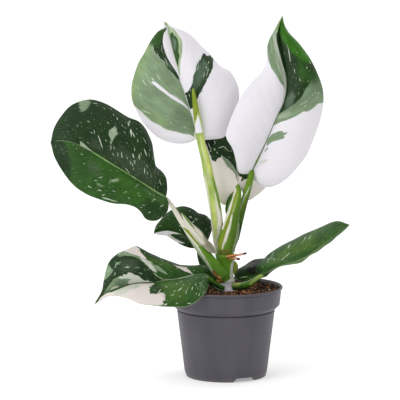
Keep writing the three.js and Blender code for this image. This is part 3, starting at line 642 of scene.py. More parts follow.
    "aerial_root_short": dict(
        slot="aerial_root", base="root", ribs=(5, 0.05), channel=0,
        layers=[
            dict(tint="root_pink", soft=1.2, patches=[
                [(0.5, -1.3), (0.85, -1.3), (0.85, 1.3), (0.5, 1.3)]]),
            dict(tint="root_tip", soft=0.6, patches=[
                [(0.78, -1.3), (1.2, -1.3), (1.2, 1.3), (0.78, 1.3)]]),
        ],
    ),
}


def tail(shape, radius):
    """Points and radii that carry a petiole on as the keel behind its leaf's midrib."""
    mid, left, right = Path(shape["mid"]), Path(shape["left"]), Path(shape["right"])
    shares = np.array([0.02, 0.06, 0.11])
    facing = unit(np.cross(right.at(0.15) - left.at(0.15), mid.tangent(0.06)))
    radii = radius + (shape["rib"] * 0.6 - radius) * np.array([0.25, 0.7, 1])
    return (mid.at(shares) - facing * (0.9 * radii[:, None] + 0.3)).tolist(), radii.tolist()


def stalk(name, path, radii, nodes=None, leaf=None):
    """A fleshy stalk with length ribs and a channel down its front."""
    looks = STALK_LOOKS[name]
    own_length = Path(path).length
    if leaf:
        more_points, more_radii = tail(LEAVES[leaf], radii[-1])
        path, radii = path + more_points, radii + more_radii
    curve = Path(path)
    levels = max(12, round(curve.length / STALK_STEP))
    along = np.linspace(0, 1, levels + 1)
    angle = 2 * np.pi * np.arange(STALK_SIDES) / STALK_SIDES
    tangent = curve.tangent(along)
    sideways = unit(np.cross([0, -1, 0], tangent))
    front = unit(np.cross(tangent, sideways))
    radius = np.interp(along, curve.stops, radii)[:, None]
    count, depth = looks["ribs"]
    twist = angle + 0.25 * np.sin(3 * angle + 5 * along[:, None])
    ribbed = radius * (1 - depth * (0.5 + 0.5 * np.cos(count * twist)))
    ribbed *= 1 + 0.02 * ripple(2 * np.cos(angle), 2 * np.sin(angle), curve.length * along[:, None] / 15)
    sunk = 1 - looks["channel"] * np.maximum(0, np.sin(angle)) ** 4
    rings = (
        curve.at(along)[:, None]
        + sideways[:, None] * (ribbed * np.cos(angle))[..., None]
        + front[:, None] * (ribbed * np.sin(angle) * sunk)[..., None]
    )
    points, faces = loft(rings)
    mean = float(np.mean(radii))
    lengthwise = along[:, None] + 0 * angle
    around = (angle / np.pi + 0.5) % 2 - 1 + 0 * lengthwise
    place = np.stack(np.broadcast_arrays(mean * np.cos(angle), mean * np.sin(angle),
                                         curve.length * lengthwise), -1)
    # The marks of a stalk are placed by its length without the tail.
    lengthwise = lengthwise * curve.length / own_length
    scale = (own_length, np.pi * mean)
    zones = {
        f"zone_{k}": with_ends(layer_depth(layer, lengthwise, around, scale)[..., None])
        for k, layer in enumerate(looks["layers"])
    }
    dull = looks["slot"] == "aerial_root"
    material = tissue(name + "_skin", looks["base"], looks["layers"], roughness=0.75 if dull else 0.42)
    make_piece(name + "_skin", points, faces, material, nodes or [name], zones,
               with_ends(place))


# Leaves

BLADE_MM = 0.7
FAN = 1.5            # above 1, more side veins start near the petiole
VEIN_LEAN = 0.7      # how far a side vein goes towards the tip for 1 mm outwards
ROWS, HALF = 150, 44  # rows from petiole to tip, and columns in each half
SIDE_VEINS = 13

# Leaves: the midrib and both edges from the petiole to the tip, the height of the arch of each
# half, and that of the ridge behind the midrib. Right_arch is there where the halves differ.
LEAVES = {
    "leaf_upper_left": dict(
        arch=9,
        rib=1.8,
        mid=[
            [-29.5, -2.2, 253.2], [-36.5, 1, 277], [-44, 3.5, 301], [-49, 8, 320.5], [-55, 16, 341.5],
            [-60.5, 30, 363], [-65.5, 37, 372.5],
        ],
        left=[
            [-29.5, -2.2, 253.2], [-38, 1, 248], [-50.5, 2, 246.5], [-61, 3, 248], [-72.5, 4, 253.5],
            [-84, 6, 264], [-93.5, 8, 278.5], [-99, 9, 293.5], [-99.5, 11, 306.5], [-97, 13, 317.5],
            [-92.5, 16, 329], [-87, 20, 338.5], [-80.5, 24, 350.5], [-72.5, 28, 361],
            [-65.5, 32, 367], [-65.5, 37, 372.5],
        ],
        right=[
            [-29.5, -2.2, 253.2], [-23.5, 2, 250.5], [-13, 5, 250.5], [-1.5, 8, 253], [7, 11, 266],
            [12.5, 13, 284], [14, 14, 294.5], [12.5, 15, 305], [9, 16, 314], [4, 17, 321.5],
            [-6, 20, 327], [-17, 24, 338.5], [-27, 27, 348.5], [-35, 29, 356.5], [-44.5, 31, 363],
            [-56, 34, 367], [-65.5, 37, 372.5],
        ],
    ),
    "leaf_upper_right": dict(
        arch=9,
        rib=2,
        mid=[
            [26.5, 3.4, 215.2], [34.5, 3, 232], [42.5, 1, 249.5], [53, 1, 274.5], [61, 4, 291.5],
            [63.5, 9, 306], [61.5, 17, 324.5], [57.5, 26, 343], [55.5, 35, 360], [60, 45, 378.5],
        ],
        left=[
            [26.5, 3.4, 215.2], [21, 5, 214], [14, 1, 216], [10.5, -5, 227.5], [6.5, -9, 242],
            [0, -11, 255.5], [2.5, -10, 268], [10, -5, 285.5], [18.5, 0, 300.5], [26.5, 6, 310.5],
            [36, 11, 319], [41.5, 16, 330], [42.5, 22, 343.5], [46, 28, 354], [53.5, 37, 366.5],
            [60, 45, 378.5],
        ],
        right=[
            [26.5, 3.4, 215.2], [30, 7, 207], [36.5, 4, 201.5], [45, 1, 200], [54.5, -1, 203.5],
            [63.5, -2, 210], [74, -1, 221], [83.5, 1, 233.5], [92, 3, 251], [99, 5, 271],
            [102, 8, 290.5], [99.5, 13, 310.5], [90, 20, 330.5], [77.5, 28, 348.5], [66, 36, 361.5],
            [61.5, 41, 370], [60, 45, 378.5],
        ],
    ),
    "leaf_back": dict(
        arch=6,
        rib=1.5,
        mid=[
            [12.5, 5, 200.9], [12, 13, 211], [11, 23, 223.5], [9.5, 34, 238.5], [6.5, 47, 256],
            [2.5, 61, 274], [-2, 72, 288.5],
        ],
        left=[
            [12.5, 5, 200.9], [8.5, 7, 193.5], [4, 9, 185.5], [-1.5, 11, 180], [-7.5, 13, 185],
            [-12.5, 17, 197.5], [-18.5, 22, 214], [-22, 29, 230], [-22.5, 37, 245.5], [-19.5, 46, 260.5],
            [-13.5, 57, 274.5], [-7.5, 65, 283.5], [-2, 72, 288.5],
        ],
        right=[
            [12.5, 5, 200.9], [17, 11.5, 195], [23.5, 15, 184.5], [32.5, 17, 189], [42.5, 21, 198],
            [47.5, 26, 210], [48.5, 34, 225.5], [44, 43, 240.5], [35.5, 53, 256.5], [24, 61, 271.5],
            [11, 68, 283], [-2, 72, 288.5],
        ],
    ),
    "leaf_left": dict(
        arch=8,
        rib=1.8,
        mid=[
            [-63.5, -14, 191.4], [-77.5, -17, 200.5], [-96, -19, 212.5], [-120, -20, 227.5],
            [-143.5, -20, 242], [-160.5, -18, 249.5], [-174, -14, 251], [-183.5, -10, 248.5],
        ],
        left=[
            [-63.5, -14, 191.4], [-60.5, -17, 186], [-61.5, -21, 179], [-66, -26, 173.5],
            [-72, -30, 169.5], [-79, -33, 169.5], [-84.5, -35, 172.5], [-89, -36, 179.5],
            [-95, -37, 184.5], [-103, -38, 187], [-117.5, -39, 188.5], [-130.5, -39, 192.5],
            [-144.5, -38, 198], [-159, -34, 207.5], [-171.5, -26, 223], [-179.5, -17, 237.5],
            [-183.5, -10, 248.5],
        ],
        right=[
            [-63.5, -14, 191.4], [-61.5, -8, 201.5], [-62.5, -5, 210.5], [-67.5, -2, 217.5],
            [-73.5, 0, 223], [-76.5, 3, 235], [-79, 5, 248], [-84, 8, 260.5], [-91.5, 10, 268.5],
            [-103, 12, 273.5], [-114, 14, 280], [-127, 16, 287.5], [-145, 16, 291.5],
            [-160.5, 12, 287], [-173, 5, 275], [-180.5, -3, 261], [-183.5, -10, 248.5],
        ],
    ),
    "leaf_small": dict(
        arch=4,
        rib=1,
        mid=[
            [-28.5, 13, 139.4], [-38, 15, 144.5], [-51, 17, 149.5], [-63.5, 17, 151.5],
            [-72, 15, 151], [-76.5, 12, 149.5],
        ],
        left=[
            [-28.5, 13, 139.4], [-30.5, 9, 134.5], [-37, 5, 135], [-44.5, 3, 137.5], [-50.5, 3, 140.5],
            [-57, 4, 144.5], [-63.5, 6, 148], [-71, 9, 148.5], [-76.5, 12, 149.5],
        ],
        right=[
            [-28.5, 13, 139.4], [-21, 19, 139], [-15.5, 26, 149], [-15, 30, 159], [-21, 33, 166.5],
            [-29.5, 35, 169], [-37.5, 37, 173], [-45, 38, 175.5], [-53, 37, 174], [-61.5, 33, 169.5],
            [-69.5, 27, 162.5], [-74.5, 20, 156.5], [-76.5, 12, 149.5],
        ],
    ),
    "leaf_lower_left": dict(
        arch=7,
        rib=1.4,
        mid=[
            [-24, -16, 110.1], [-34, -24, 111], [-49.5, -33, 108.5], [-63, -39, 107.5], [-77, -44, 106],
            [-92, -48, 106], [-104.5, -50, 103.5], [-116.5, -52, 99.5], [-127.5, -53, 92.5],
            [-137, -53, 84.5],
        ],
        left=[
            [-24, -16, 110.1], [-20, -24, 106.5], [-19, -42, 101], [-22.5, -58, 97.5], [-30.5, -68, 91],
            [-41.5, -72, 86], [-58.5, -74, 86], [-76.5, -74, 87.5], [-89, -73, 89],
            [-100.5, -70, 93.5], [-111, -66, 95.5], [-120.5, -61, 95], [-129, -56, 90.5],
            [-137, -53, 84.5],
        ],
        right=[
            [-24, -16, 110.1], [-20, -9, 113.5], [-20.5, -3, 117], [-26, 0, 118.5], [-34, 0, 117],
            [-42, -2, 116.5], [-54, -6, 118], [-61.5, -9, 122], [-75.5, -14, 130], [-86, -17, 136],
            [-94, -20, 141], [-105, -26, 137.5], [-114, -31, 134.5], [-120.5, -36, 128.5],
            [-124, -40, 120.5], [-127, -45, 108], [-129.5, -49, 97.5], [-137, -53, 84.5],
        ],
    ),
    "leaf_right": dict(
        arch=4,
        right_arch=0.5,
        rib=1.2,
        mid=[
            [38.5, -10.5, 109.6], [46.5, -12, 113.9], [55.5, -14, 118.9], [68.8, -14, 122.8],
            [79.5, -13, 125.5], [90, -10, 132], [105, -5, 143], [119, 1, 154], [131, 8, 159.5],
        ],
        left=[
            [38.5, -10.5, 109.6], [31.5, -4, 103.6], [22, 4, 99.6], [14, 11, 99], [9.2, 16, 103.3],
            [9.4, 19.5, 107.7], [20.4, 22, 114.4], [31.2, 23, 120.1], [37.5, 20, 119.2],
            [46, 20, 126.2], [55.8, 22, 132.9], [65.2, 24, 138.2], [77, 26, 144], [91.5, 27, 150.4],
            [105.5, 25, 157], [118.5, 18, 161.5], [131, 8, 159.5],
        ],
        right=[
            [38.5, -10.5, 109.6], [41.6, -17, 111.1], [47.3, -27, 116.8], [55.3, -36, 121.7],
            [67, -42, 126], [78.4, -42, 128.2], [89, -38, 134.6], [105, -27, 143.5],
            [120.5, -9, 153.3], [131, 8, 159.5],
        ],
    ),
}

SHEATHS = {
    "petiole_left_sheath": dict(
        arch=1.6,
        rib=0,
        mid=[
            [-11, -16.5, 132.3], [-17.5, -16.7, 139.2], [-29, -17, 152.1], [-40, -16, 167],
            [-47.5, -15, 176],
        ],
        left=[
            [-11, -16.5, 132.3], [-18.8, -22.2, 135.4], [-31, -21.9, 149.8], [-42.8, -19.8, 165.3],
            [-47.5, -15, 176],
        ],
        right=[
            [-11, -16.5, 132.3], [-14.5, -12, 141.5], [-20, -11.5, 146.5], [-27.2, -11.5, 156.5],
            [-37.5, -12, 165], [-47.5, -15, 176],
        ],
    ),
    "petiole_back_sheath": dict(
        arch=1,
        rib=0,
        mid=[[0.6, 1.2, 170.4], [-0.5, 2, 175.9], [0.6, 2.5, 184.4], [3.5, 2.5, 190.8], [8, 2.5, 195.3]],
        left=[[0.6, 1.2, 170.4], [2, 5, 176.6], [4, 5, 184], [6.5, 4.4, 190], [8, 2.5, 195.3]],
        right=[[0.6, 1.2, 170.4], [1.9, 0.2, 176.3], [4.6, 0.8, 183.8], [7, 1.6, 190.3], [8, 2.5, 195.3]],
    ),
}

# Markings of each leaf, painted in order over its base tint. Streaks are thin white dashes
# (along, across, along, across, width in mm). Flecks are (along, across, radius in mm, share
# of the cells that show one), and dots their sizes and tints where those aren't the usual ones.
MARKINGS = {
    "leaf_upper_left": dict(
        slot="leaf_sage_white", base="white",
        layers=[
            dict(tint="sage", jag=1.0, patches=[
                [(0.077, -0.26), (0.14, -0.31), (0.19, -0.46), (0.23, -0.54), (0.26, -0.66),
                 (0.31, -0.73), (0.35, -0.82), (0.41, -0.9), (0.46, -0.99), (0.49, -1.25),
                 (0.85, -1.25), (0.84, -0.85), (0.78, -0.7), (0.71, -0.35), (0.672, -0.26),
                 (0.625, -0.1), (0.598, -0.03), (0.532, 0), (0.273, 0), (0.163, -0.04)]]),
            dict(tint="sage_lime", soft=6, jag=1.0, strength=0.6, patches=[
                [(0.49, -1.25), (0.47, -0.94), (0.57, -0.85), (0.67, -0.79), (0.75, -0.72), (0.84, -1),
                 (0.69, -1.25)],
                [(0.45, -0.94), (0.3, -0.71), (0.27, -0.59), (0.29, -0.45), (0.38, -0.61), (0.45, -0.81)]]),
            dict(tint="deep_sage", soft=4, jag=1.5, strength=0.7, patches=[
                [(0.28, -0.68), (0.133, -0.22), (0.292, 0), (0.398, -0.1), (0.408, -0.25), (0.34, -0.46)]]),
            dict(tint="dark", jag=0.7, patches=[
                [(0.953, -0.17), (0.9, -1.25), (0.85, -1.25), (0.84, -0.85), (0.78, -0.7),
                 (0.71, -0.35), (0.667, -0.26), (0.645, -0.17), (0.598, -0.03), (0.633, -0.04),
                 (0.657, -0.07), (0.745, -0.26), (0.84, -0.42), (0.9, -0.46)]]),
            dict(tint="leaf", soft=2.5, patches=[
                [(0.95, -0.36), (0.9, -1.25), (0.84, -1.25), (0.81, -0.75), (0.81, -0.55),
                 (0.86, -0.48), (0.9, -0.51)]]),
            # Painted sheen in the dark green band.
            dict(tint="painted_sheen", soft=1.5, jag=1.5, strength=0.35, patches=[
                [(0.74, -0.38), (0.738, -0.29), (0.655, -0.1), (0.67, -0.21), (0.7, -0.33)]]),
            dict(tint="white", jag=0.4, patches=[
                [(0.943, -0.27), (0.9, -0.46), (0.86, -0.44), (0.84, -0.42), (0.745, -0.26),
                 (0.657, -0.07), (0.625, -0.04), (0.665, -0.03), (0.745, -0.04), (0.858, -0.12),
                 (0.925, -0.22)]]),
            dict(tint="pale", jag=0.5, patches=[
                [(0.99, 0.3), (0.935, 0), (0.642, 0), (0.675, 0.04), (0.713, 0.12), (0.8, 0.41),
                 (0.83, 0.47), (0.85, 0.45), (0.88, 0.48), (0.92, 0.49), (0.95, 0.42)],
                [(0.925, -0.17), (0.88, -0.09), (0.835, -0.06), (0.7, -0.02), (0.638, -0.03),
                 (0.633, 0), (0.943, 0)]]),
            dict(tint="leaf", jag=0.9, soft=0.3, patches=[
                [(0.905, 0.09), (0.905, 0.23), (0.893, 0.28), (0.873, 0.23), (0.87, 0.3), (0.84, 0.33),
                 (0.812, 0.28), (0.772, 0.16), (0.75, 0.16), (0.73, 0.09), (0.695, 0.01), (0.682, 0),
                 (0.755, 0), (0.885, 0.02)]]),
            # Painted sheen on the dark green patch beside the midrib.
            dict(tint="painted_sheen", soft=1.2, jag=1.0, strength=0.6, patches=[
                [(0.878, 0.07), (0.868, 0.2), (0.845, 0.24), (0.812, 0.17), (0.785, 0.07), (0.807, 0.04)]]),
            dict(tint="dark", jag=1.4, patches=[
                [(0.67, 0.61), (0.7, 0.82), (0.7, 0.87), (0.69, 0.89), (0.69, 0.86), (0.68, 0.85),
                 (0.68, 0.96), (0.65, 0.97), (0.6, 0.79), (0.54, 0.49), (0.51, 0.39), (0.48, 0.31),
                 (0.465, 0.25), (0.383, 0.07), (0.375, 0.01), (0.422, 0), (0.473, 0.01), (0.51, 0),
                 (0.512, 0.06), (0.537, 0.16), (0.56, 0.22), (0.593, 0.28), (0.62, 0.39), (0.65, 0.47),
                 (0.66, 0.56)]]),
            # Painted sheen in the middle of the dark green patch.
            dict(tint="painted_sheen", soft=4, jag=2, strength=0.5, patches=[
                [(0.66, 0.51), (0.66, 0.72), (0.63, 0.74), (0.57, 0.54), (0.53, 0.33), (0.508, 0.19),
                 (0.547, 0.19), (0.6, 0.34)]]),
            dict(tint="white", jag=0.5, patches=[
                [(0.59, -0.61), (0.59, -0.57), (0.58, -0.51), (0.54, -0.36), (0.51, -0.28),
                 (0.485, -0.18), (0.45, -0.09), (0.41, -0.03), (0.355, 0), (0.398, -0.06),
                 (0.432, -0.13), (0.52, -0.39), (0.58, -0.6)]]),
            dict(tint="faint", jag=0.4, soft=0.6, lines=[(0.285, 0, 0.555, 0, 0)]),
            dict(tint="olive", soft=0.8, strength=0.7, patches=[
                [(0.965, -1.25), (1.1, -1.25), (1.1, 1.25), (0.965, 1.25)]]),
        ],
        streaks=[
            (0.63, -0.51, 0.6, -0.44, 0.8), (0.61, -0.62, 0.59, -0.54, 0.7),
            (0.6, -0.79, 0.57, -0.71, 0.8), (0.6, -0.68, 0.56, -0.57, 0.5),
            (0.508, -0.21, 0.463, -0.09, 0.4), (0.43, -0.89, 0.4, -0.76, 0.8),
            (0.31, -0.51, 0.3, -0.47, 0.7), (0.52, -0.82, 0.51, -0.82, 0.7),
            (0.61, -0.61, 0.6, -0.56, 0.6), (0.82, -0.46, 0.77, -0.41, 0.5),
            (0.73, -0.31, 0.688, -0.26, 0.7), (0.81, -0.4, 0.79, -0.38, 0.5),
            (0.57, -0.48, 0.54, -0.34, 0.4), (0.77, -0.99, 0.79, -0.99, 0.6),
            (0.62, 0.68, 0.61, 0.64, 0.8), (0.65, 0.53, 0.62, 0.44, 0.6), (0.59, 0.55, 0.56, 0.46, 0.4),
            (0.59, 0.64, 0.56, 0.52, 0.4), (0.52, 0.12, 0.508, 0.12, 0.7),
            (0.49, 0.07, 0.475, 0.07, 0.6),
        ],
        flecks=[(0.55, -0.5, 45, 0.05), (0.6, 0.6, 14, 0.2), (0.75, -0.4, 14, 0.15)],
    ),
    "leaf_upper_right": dict(
        slot="leaf_sage_white", base="white",
        layers=[
            dict(tint="sage", jag=0.8, patches=[
                [(0.99, -1), (0.95, -1.25), (0.83, -1.25), (0.8, -0.96), (0.75, -0.91), (0.72, -0.83),
                 (0.7, -0.74), (0.69, -0.64), (0.68, -0.48), (0.66, -0.31), (0.655, -0.17),
                 (0.642, -0.06), (0.66, -0.09), (0.677, -0.17), (0.69, -0.29), (0.72, -0.46),
                 (0.76, -0.47), (0.78, -0.52), (0.8, -0.54), (0.86, -0.79), (0.89, -0.95), (0.93, -0.99)]]),
            dict(tint="ash", jag=0.9, patches=[
                [(0.93, -0.99), (0.89, -0.95), (0.86, -0.79), (0.8, -0.54), (0.78, -0.52),
                 (0.76, -0.47), (0.72, -0.46), (0.69, -0.29), (0.677, -0.17), (0.642, -0.03),
                 (0.613, 0), (0.652, 0), (0.743, -0.06), (0.768, -0.15), (0.797, -0.2), (0.825, -0.29),
                 (0.85, -0.42), (0.88, -0.54), (0.91, -0.57)]]),
            dict(tint="deep_sage", soft=2.2, jag=1.5, strength=0.85, patches=[
                [(0.81, -0.99), (0.73, -0.89), (0.69, -0.59), (0.657, -0.21), (0.67, -0.14),
                 (0.69, -0.37), (0.74, -0.57), (0.79, -0.65), (0.82, -0.81)]]),
            dict(tint="sage_lime", soft=1.5, jag=0.8, patches=[
                [(1, -0.5), (0.94, -1.25), (0.91, -1.25), (0.9, -0.74), (0.938, -0.03), (0.97, 0)]]),
            dict(tint="sage", jag=1.0, soft=0.4, patches=[
                [(0.45, -0.01), (0.56, 0.02), (0.6, 0.15), (0.63, 0.4), (0.68, 0.6), (0.72, 0.8),
                 (0.73, 1.3), (0.57, 1.3), (0.56, 0.86), (0.53, 0.64), (0.53, 0.54), (0.487, 0.22),
                 (0.478, 0.12), (0.46, 0.05)]]),
            dict(tint="deep_sage", soft=2.5, jag=1.5, strength=0.7, patches=[
                [(0.5, 0.05), (0.56, 0.1), (0.6, 0.3), (0.66, 0.5), (0.7, 1.3), (0.62, 1.3),
                 (0.58, 0.7), (0.54, 0.4)]]),
            dict(tint="faint", soft=0.5, jag=0.6, strength=0.75, patches=[
                [(0.56, -0.01), (0.713, -0.03), (0.74, -0.08), (0.765, -0.17), (0.795, -0.22),
                 (0.825, -0.29), (0.85, -0.43), (0.88, -0.56), (0.86, -0.66), (0.82, -0.5),
                 (0.78, -0.38), (0.74, -0.27), (0.68, -0.15), (0.6, -0.07)]]),
            dict(tint="dark", jag=0.4, patches=[
                [(0.92, -0.44), (0.89, -0.57), (0.85, -0.43), (0.825, -0.29), (0.795, -0.22),
                 (0.765, -0.17), (0.74, -0.08), (0.713, -0.03), (0.51, -0.01), (0.53, 0.06),
                 (0.55, 0.15), (0.56, 0.2), (0.57, 0.29), (0.6, 0.43), (0.63, 0.51), (0.64, 0.59),
                 (0.67, 0.71), (0.69, 1.3), (1.05, 1.3), (1.02, -0.03)]]),
            dict(tint="vivid", soft=3.5, jag=1.5, patches=[
                [(1.02, -0.06), (0.965, 0.02), (0.93, 0.13), (0.88, 0.22), (0.83, 0.36), (0.78, 0.52),
                 (0.75, 0.68), (0.73, 1.4), (1.1, 1.4)]]),
            dict(tint="grass", soft=1.5, strength=0.3, patches=[
                [(0.97, 0.77), (0.92, 0.64), (0.89, 0.93), (0.85, 0.99), (0.8, 1), (0.75, 1),
                 (0.73, 1.25), (0.81, 1.25)]]),
            dict(tint="leaf", soft=5, jag=1.5, patches=[
                [(0.77, 0.56), (0.7, 0.76), (0.7, 1.25), (0.65, 0.91), (0.65, 0.62), (0.67, 0.41),
                 (0.72, 0.37)]]),
            # Painted sheen on the dark green beside the midrib.
            dict(tint="painted_sheen", soft=2, jag=2, strength=0.5, patches=[
                [(0.583, 0.05), (0.618, 0.05), (0.64, 0.15), (0.613, 0.23), (0.575, 0.24),
                 (0.557, 0.17), (0.552, 0.11)]]),
            dict(tint="faint", jag=2.5, soft=0.6, strength=0.4, patches=[
                [(0.497, 0.03), (0.515, 0.07), (0.54, 0.26), (0.522, 0.23), (0.508, 0.14), (0.492, 0.08)]]),
            dict(tint="sage", jag=1.2, patches=[
                [(0.328, 0.03), (0.362, 0.01), (0.393, 0.04), (0.413, 0.09), (0.425, 0.16),
                 (0.43, 0.24), (0.42, 0.26), (0.43, 0.34), (0.41, 0.33), (0.408, 0.28), (0.4, 0.34),
                 (0.39, 0.32), (0.362, 0.14), (0.345, 0.09), (0.318, 0.06)]]),
            dict(tint="deep_sage", jag=0.5, lines=[(0.275, 0.06, 0.315, 0.09, 1.2)]),
            dict(tint="faint", jag=1.2, soft=1.0, strength=0.8, patches=[
                [(0.193, 0.07), (0.225, 0.12), (0.242, 0.22), (0.225, 0.23), (0.168, 0.11)],
                [(0.107, 0.07), (0.155, 0.09), (0.175, 0.12), (0.133, 0.11)]]),
            dict(tint="deep_sage", jag=0.1, soft=0.25, strength=0.9, rib=[(0.03, 0.6, 0.8, 1.3)]),
        ],
        streaks=[
            (0.85, 0.37, 0.81, 0.31, 0.8), (0.83, 0.34, 0.772, 0.24, 1.3), (0.73, 0.3, 0.72, 0.28, 0.8),
            (0.75, 0.91, 0.74, 0.89, 0.8), (0.68, 0.38, 0.67, 0.39, 0.8),
            (0.497, 0.14, 0.52, 0.29, 0.5), (0.56, 0.42, 0.58, 0.59, 0.5),
            (0.81, -0.89, 0.74, -0.82, 0.4), (0.83, -0.81, 0.77, -0.69, 0.5),
            (0.71, -0.62, 0.68, -0.36, 0.4),
        ],
        flecks=[(0.7, 0.4, 25, 0.08), (0.6, 0.9, 16, 0.22)],
    ),
    "leaf_back": dict(
        slot="leaf_sage_white", base="greige",
        layers=[
            dict(tint="dark", jag=1.2, patches=[
                [(0.95, 0), (0.88, -1.25), (0.63, -1.25), (0.62, -0.96), (0.47, -0.8), (0.45, -0.69),
                 (0.47, -0.63), (0.47, -0.53), (0.48, -0.47), (0.45, -0.33), (0.413, -0.23),
                 (0.323, -0.06), (0.25, -0.01), (0.083, 0)]]),
            # Painted shade: near black where the blade lies in deep shade near its edge.
            dict(tint="deep", jag=0.8, soft=0.8, patches=[
                [(0.65, -1.25), (0.63, -0.68), (0.59, -0.71), (0.56, -0.78), (0.55, -0.86), (0.6, -0.95)]]),
            dict(tint="sage", jag=0.8, patches=[
                [(0.47, -0.5), (0.47, -0.42), (0.45, -0.33), (0.413, -0.23), (0.323, -0.06),
                 (0.25, -0.01), (0.085, 0), (0.265, -0.09), (0.312, -0.17), (0.36, -0.31), (0.4, -0.39),
                 (0.43, -0.42)]]),
            dict(tint="dark", jag=0.8, patches=[
                [(0.91, 1.25), (0.82, 1.25), (0.4, 0.66), (0.33, 0.42), (0.29, 0.44), (0.24, 0.36),
                 (0.215, 0.28), (0.188, 0.23), (0.19, 0.17), (0.238, 0.19), (0.233, 0.09),
                 (0.268, 0.05), (0.095, 0.06), (0.32, 0), (0.542, 0.01)]]),
            dict(tint="faint", jag=0.3, soft=0.3, strength=0.7, lines=[(0.367, 0, 0.018, 0, 0.7)]),
        ],
        streaks=[
            (0.6, -0.88, 0.55, -0.79, 0.6), (0.55, -0.69, 0.54, -0.68, 1.1),
            (0.55, -0.54, 0.56, -0.39, 0.8), (0.56, -0.39, 0.52, -0.24, 0.6),
            (0.52, -0.62, 0.51, -0.61, 0.8), (0.49, -0.49, 0.48, -0.47, 0.7),
            (0.61, -0.68, 0.59, -0.66, 0.7),
        ],
        flecks=[(0.5, -0.4, 60, 0.12)],
    ),
    "leaf_left": dict(
        slot="leaf_dark", base="dark",
        layers=[
            dict(tint="leaf", soft=2.5, patches=[
                [(0.005, -0.18), (0.27, 0), (0.805, -0.01), (0.945, 0), (0.68, -1.25), (0.14, -1.25)]]),
            dict(tint="fresh", soft=9, strength=0.5, patches=[
                [(0.15, -0.12), (0.372, -0.14), (0.557, -0.07), (0.703, -0.07), (0.7, -0.34),
                 (0.56, -0.4), (0.34, -0.83), (0.24, -0.63)]]),
            # Painted sheen: the upper half greyed as by reflected light.
            dict(tint="painted_sheen_on_dark", soft=7, jag=2, strength=0.45, patches=[
                [(0.67, 0.05), (0.565, 0.03), (0.25, 0.03), (0.19, 0.38), (0.29, 0.39), (0.41, 0.34),
                 (0.51, 0.34), (0.608, 0.24)]]),
            dict(tint="dark", soft=5, strength=0.75, patches=[
                [(0.32, -0.93), (0.28, -0.51), (0.18, -0.39), (0.07, -0.88), (0.15, -1.25),
                 (0.32, -1.25)]]),
            # Painted sheen: two grey spots where the gloss catches the light.
            dict(tint="painted_sheen_on_dark", soft=3, jag=3, strength=0.5, patches=[
                [(0.768, 0.14), (0.728, 0.26), (0.693, 0.22), (0.693, 0.12), (0.73, 0.07), (0.763, 0.06)],
                [(0.745, -0.26), (0.682, -0.26), (0.62, -0.41), (0.64, -0.55), (0.69, -0.57)]]),
            dict(tint="ash", jag=1.3, soft=0.5, patches=[
                [(0.62, 0.41), (0.62, 0.46), (0.61, 0.51), (0.59, 0.56), (0.57, 0.64), (0.57, 0.6),
                 (0.56, 0.6), (0.57, 0.55), (0.56, 0.51), (0.58, 0.46), (0.58, 0.42), (0.59, 0.41),
                 (0.613, 0.28), (0.62, 0.31), (0.61, 0.36)]]),
            dict(tint="sage", jag=1.3, soft=1.0, patches=[
                [(0.72, 1.25), (0.69, 0.99), (0.68, 0.94), (0.69, 0.9), (0.71, 0.82), (0.73, 0.78),
                 (0.75, 0.78)],
                [(0.56, -0.48), (0.54, -0.37), (0.52, -0.3), (0.52, -0.38), (0.51, -0.39),
                 (0.53, -0.49), (0.54, -0.5)],
                [(0.61, -0.7), (0.6, -0.68), (0.57, -0.69), (0.58, -0.72), (0.6, -0.72)]]),
            dict(tint="pale", jag=0.5, patches=[
                [(0.818, 0.14), (0.777, 0.04), (0.745, 0.02), (0.777, 0), (0.83, 0)]]),
            dict(tint="grass", jag=0.1, soft=0.7, strength=0.8, rib=[(0.01, 0.75, 2.4, 2.6)]),
            dict(tint="pale", jag=0.1, soft=0.3, strength=0.8, rib=[(0.01, 0.97, 1.0, 1.2)]),
        ],
        streaks=[
            (0.69, 0.33, 0.677, 0.17, 1), (0.615, 0.27, 0.615, 0.21, 0.6),
            (0.47, 0.74, 0.47, 0.66, 1.7), (0.47, 0.67, 0.47, 0.61, 0.7), (0.46, 0.7, 0.45, 0.64, 1),
            (0.39, 0.72, 0.37, 0.68, 0.8), (0.38, 0.53, 0.36, 0.47, 1.5),
            (0.46, 0.33, 0.453, 0.29, 1.2), (0.42, 0.35, 0.41, 0.31, 0.8),
            (0.45, 0.24, 0.44, 0.21, 0.8), (0.458, 0.19, 0.453, 0.15, 0.7),
            (0.33, 0.68, 0.33, 0.64, 0.6), (0.542, 0.25, 0.537, 0.19, 0.8),
            (0.36, 0.23, 0.352, 0.17, 1), (0.17, 0.42, 0.15, 0.31, 1.1), (0.25, 0.49, 0.23, 0.41, 0.7),
            (0.19, 0.66, 0.18, 0.59, 0.7), (0.23, 0.39, 0.22, 0.31, 0.4), (0.448, 0.01, 0.413, 0, 1),
            (0.505, 0.06, 0.478, 0.03, 0.8), (0.48, 0.86, 0.48, 0.81, 1.2),
            (0.47, 0.93, 0.47, 0.88, 0.8), (0.55, 0.82, 0.55, 0.78, 0.8), (0.57, 0.84, 0.57, 0.82, 0.7),
            (0.5, 0.23, 0.497, 0.21, 0.6), (0.475, 0.2, 0.47, 0.16, 0.6),
            (0.448, 0.13, 0.445, 0.11, 0.6), (0.34, 0.56, 0.33, 0.53, 0.6),
            (0.45, 0.43, 0.45, 0.4, 0.7), (0.665, 0, 0.638, 0, 0.6), (0.71, 0.42, 0.71, 0.36, 0.5),
            (0.43, 0.63, 0.43, 0.57, 0.4), (0.57, 0.21, 0.568, 0.16, 0.4),
            (0.29, 0.26, 0.278, 0.21, 0.4), (0.67, 0.92, 0.65, 0.93, 0.7),
            (0.23, -0.39, 0.21, -0.33, 0.8), (0.28, -0.29, 0.26, -0.27, 0.8),
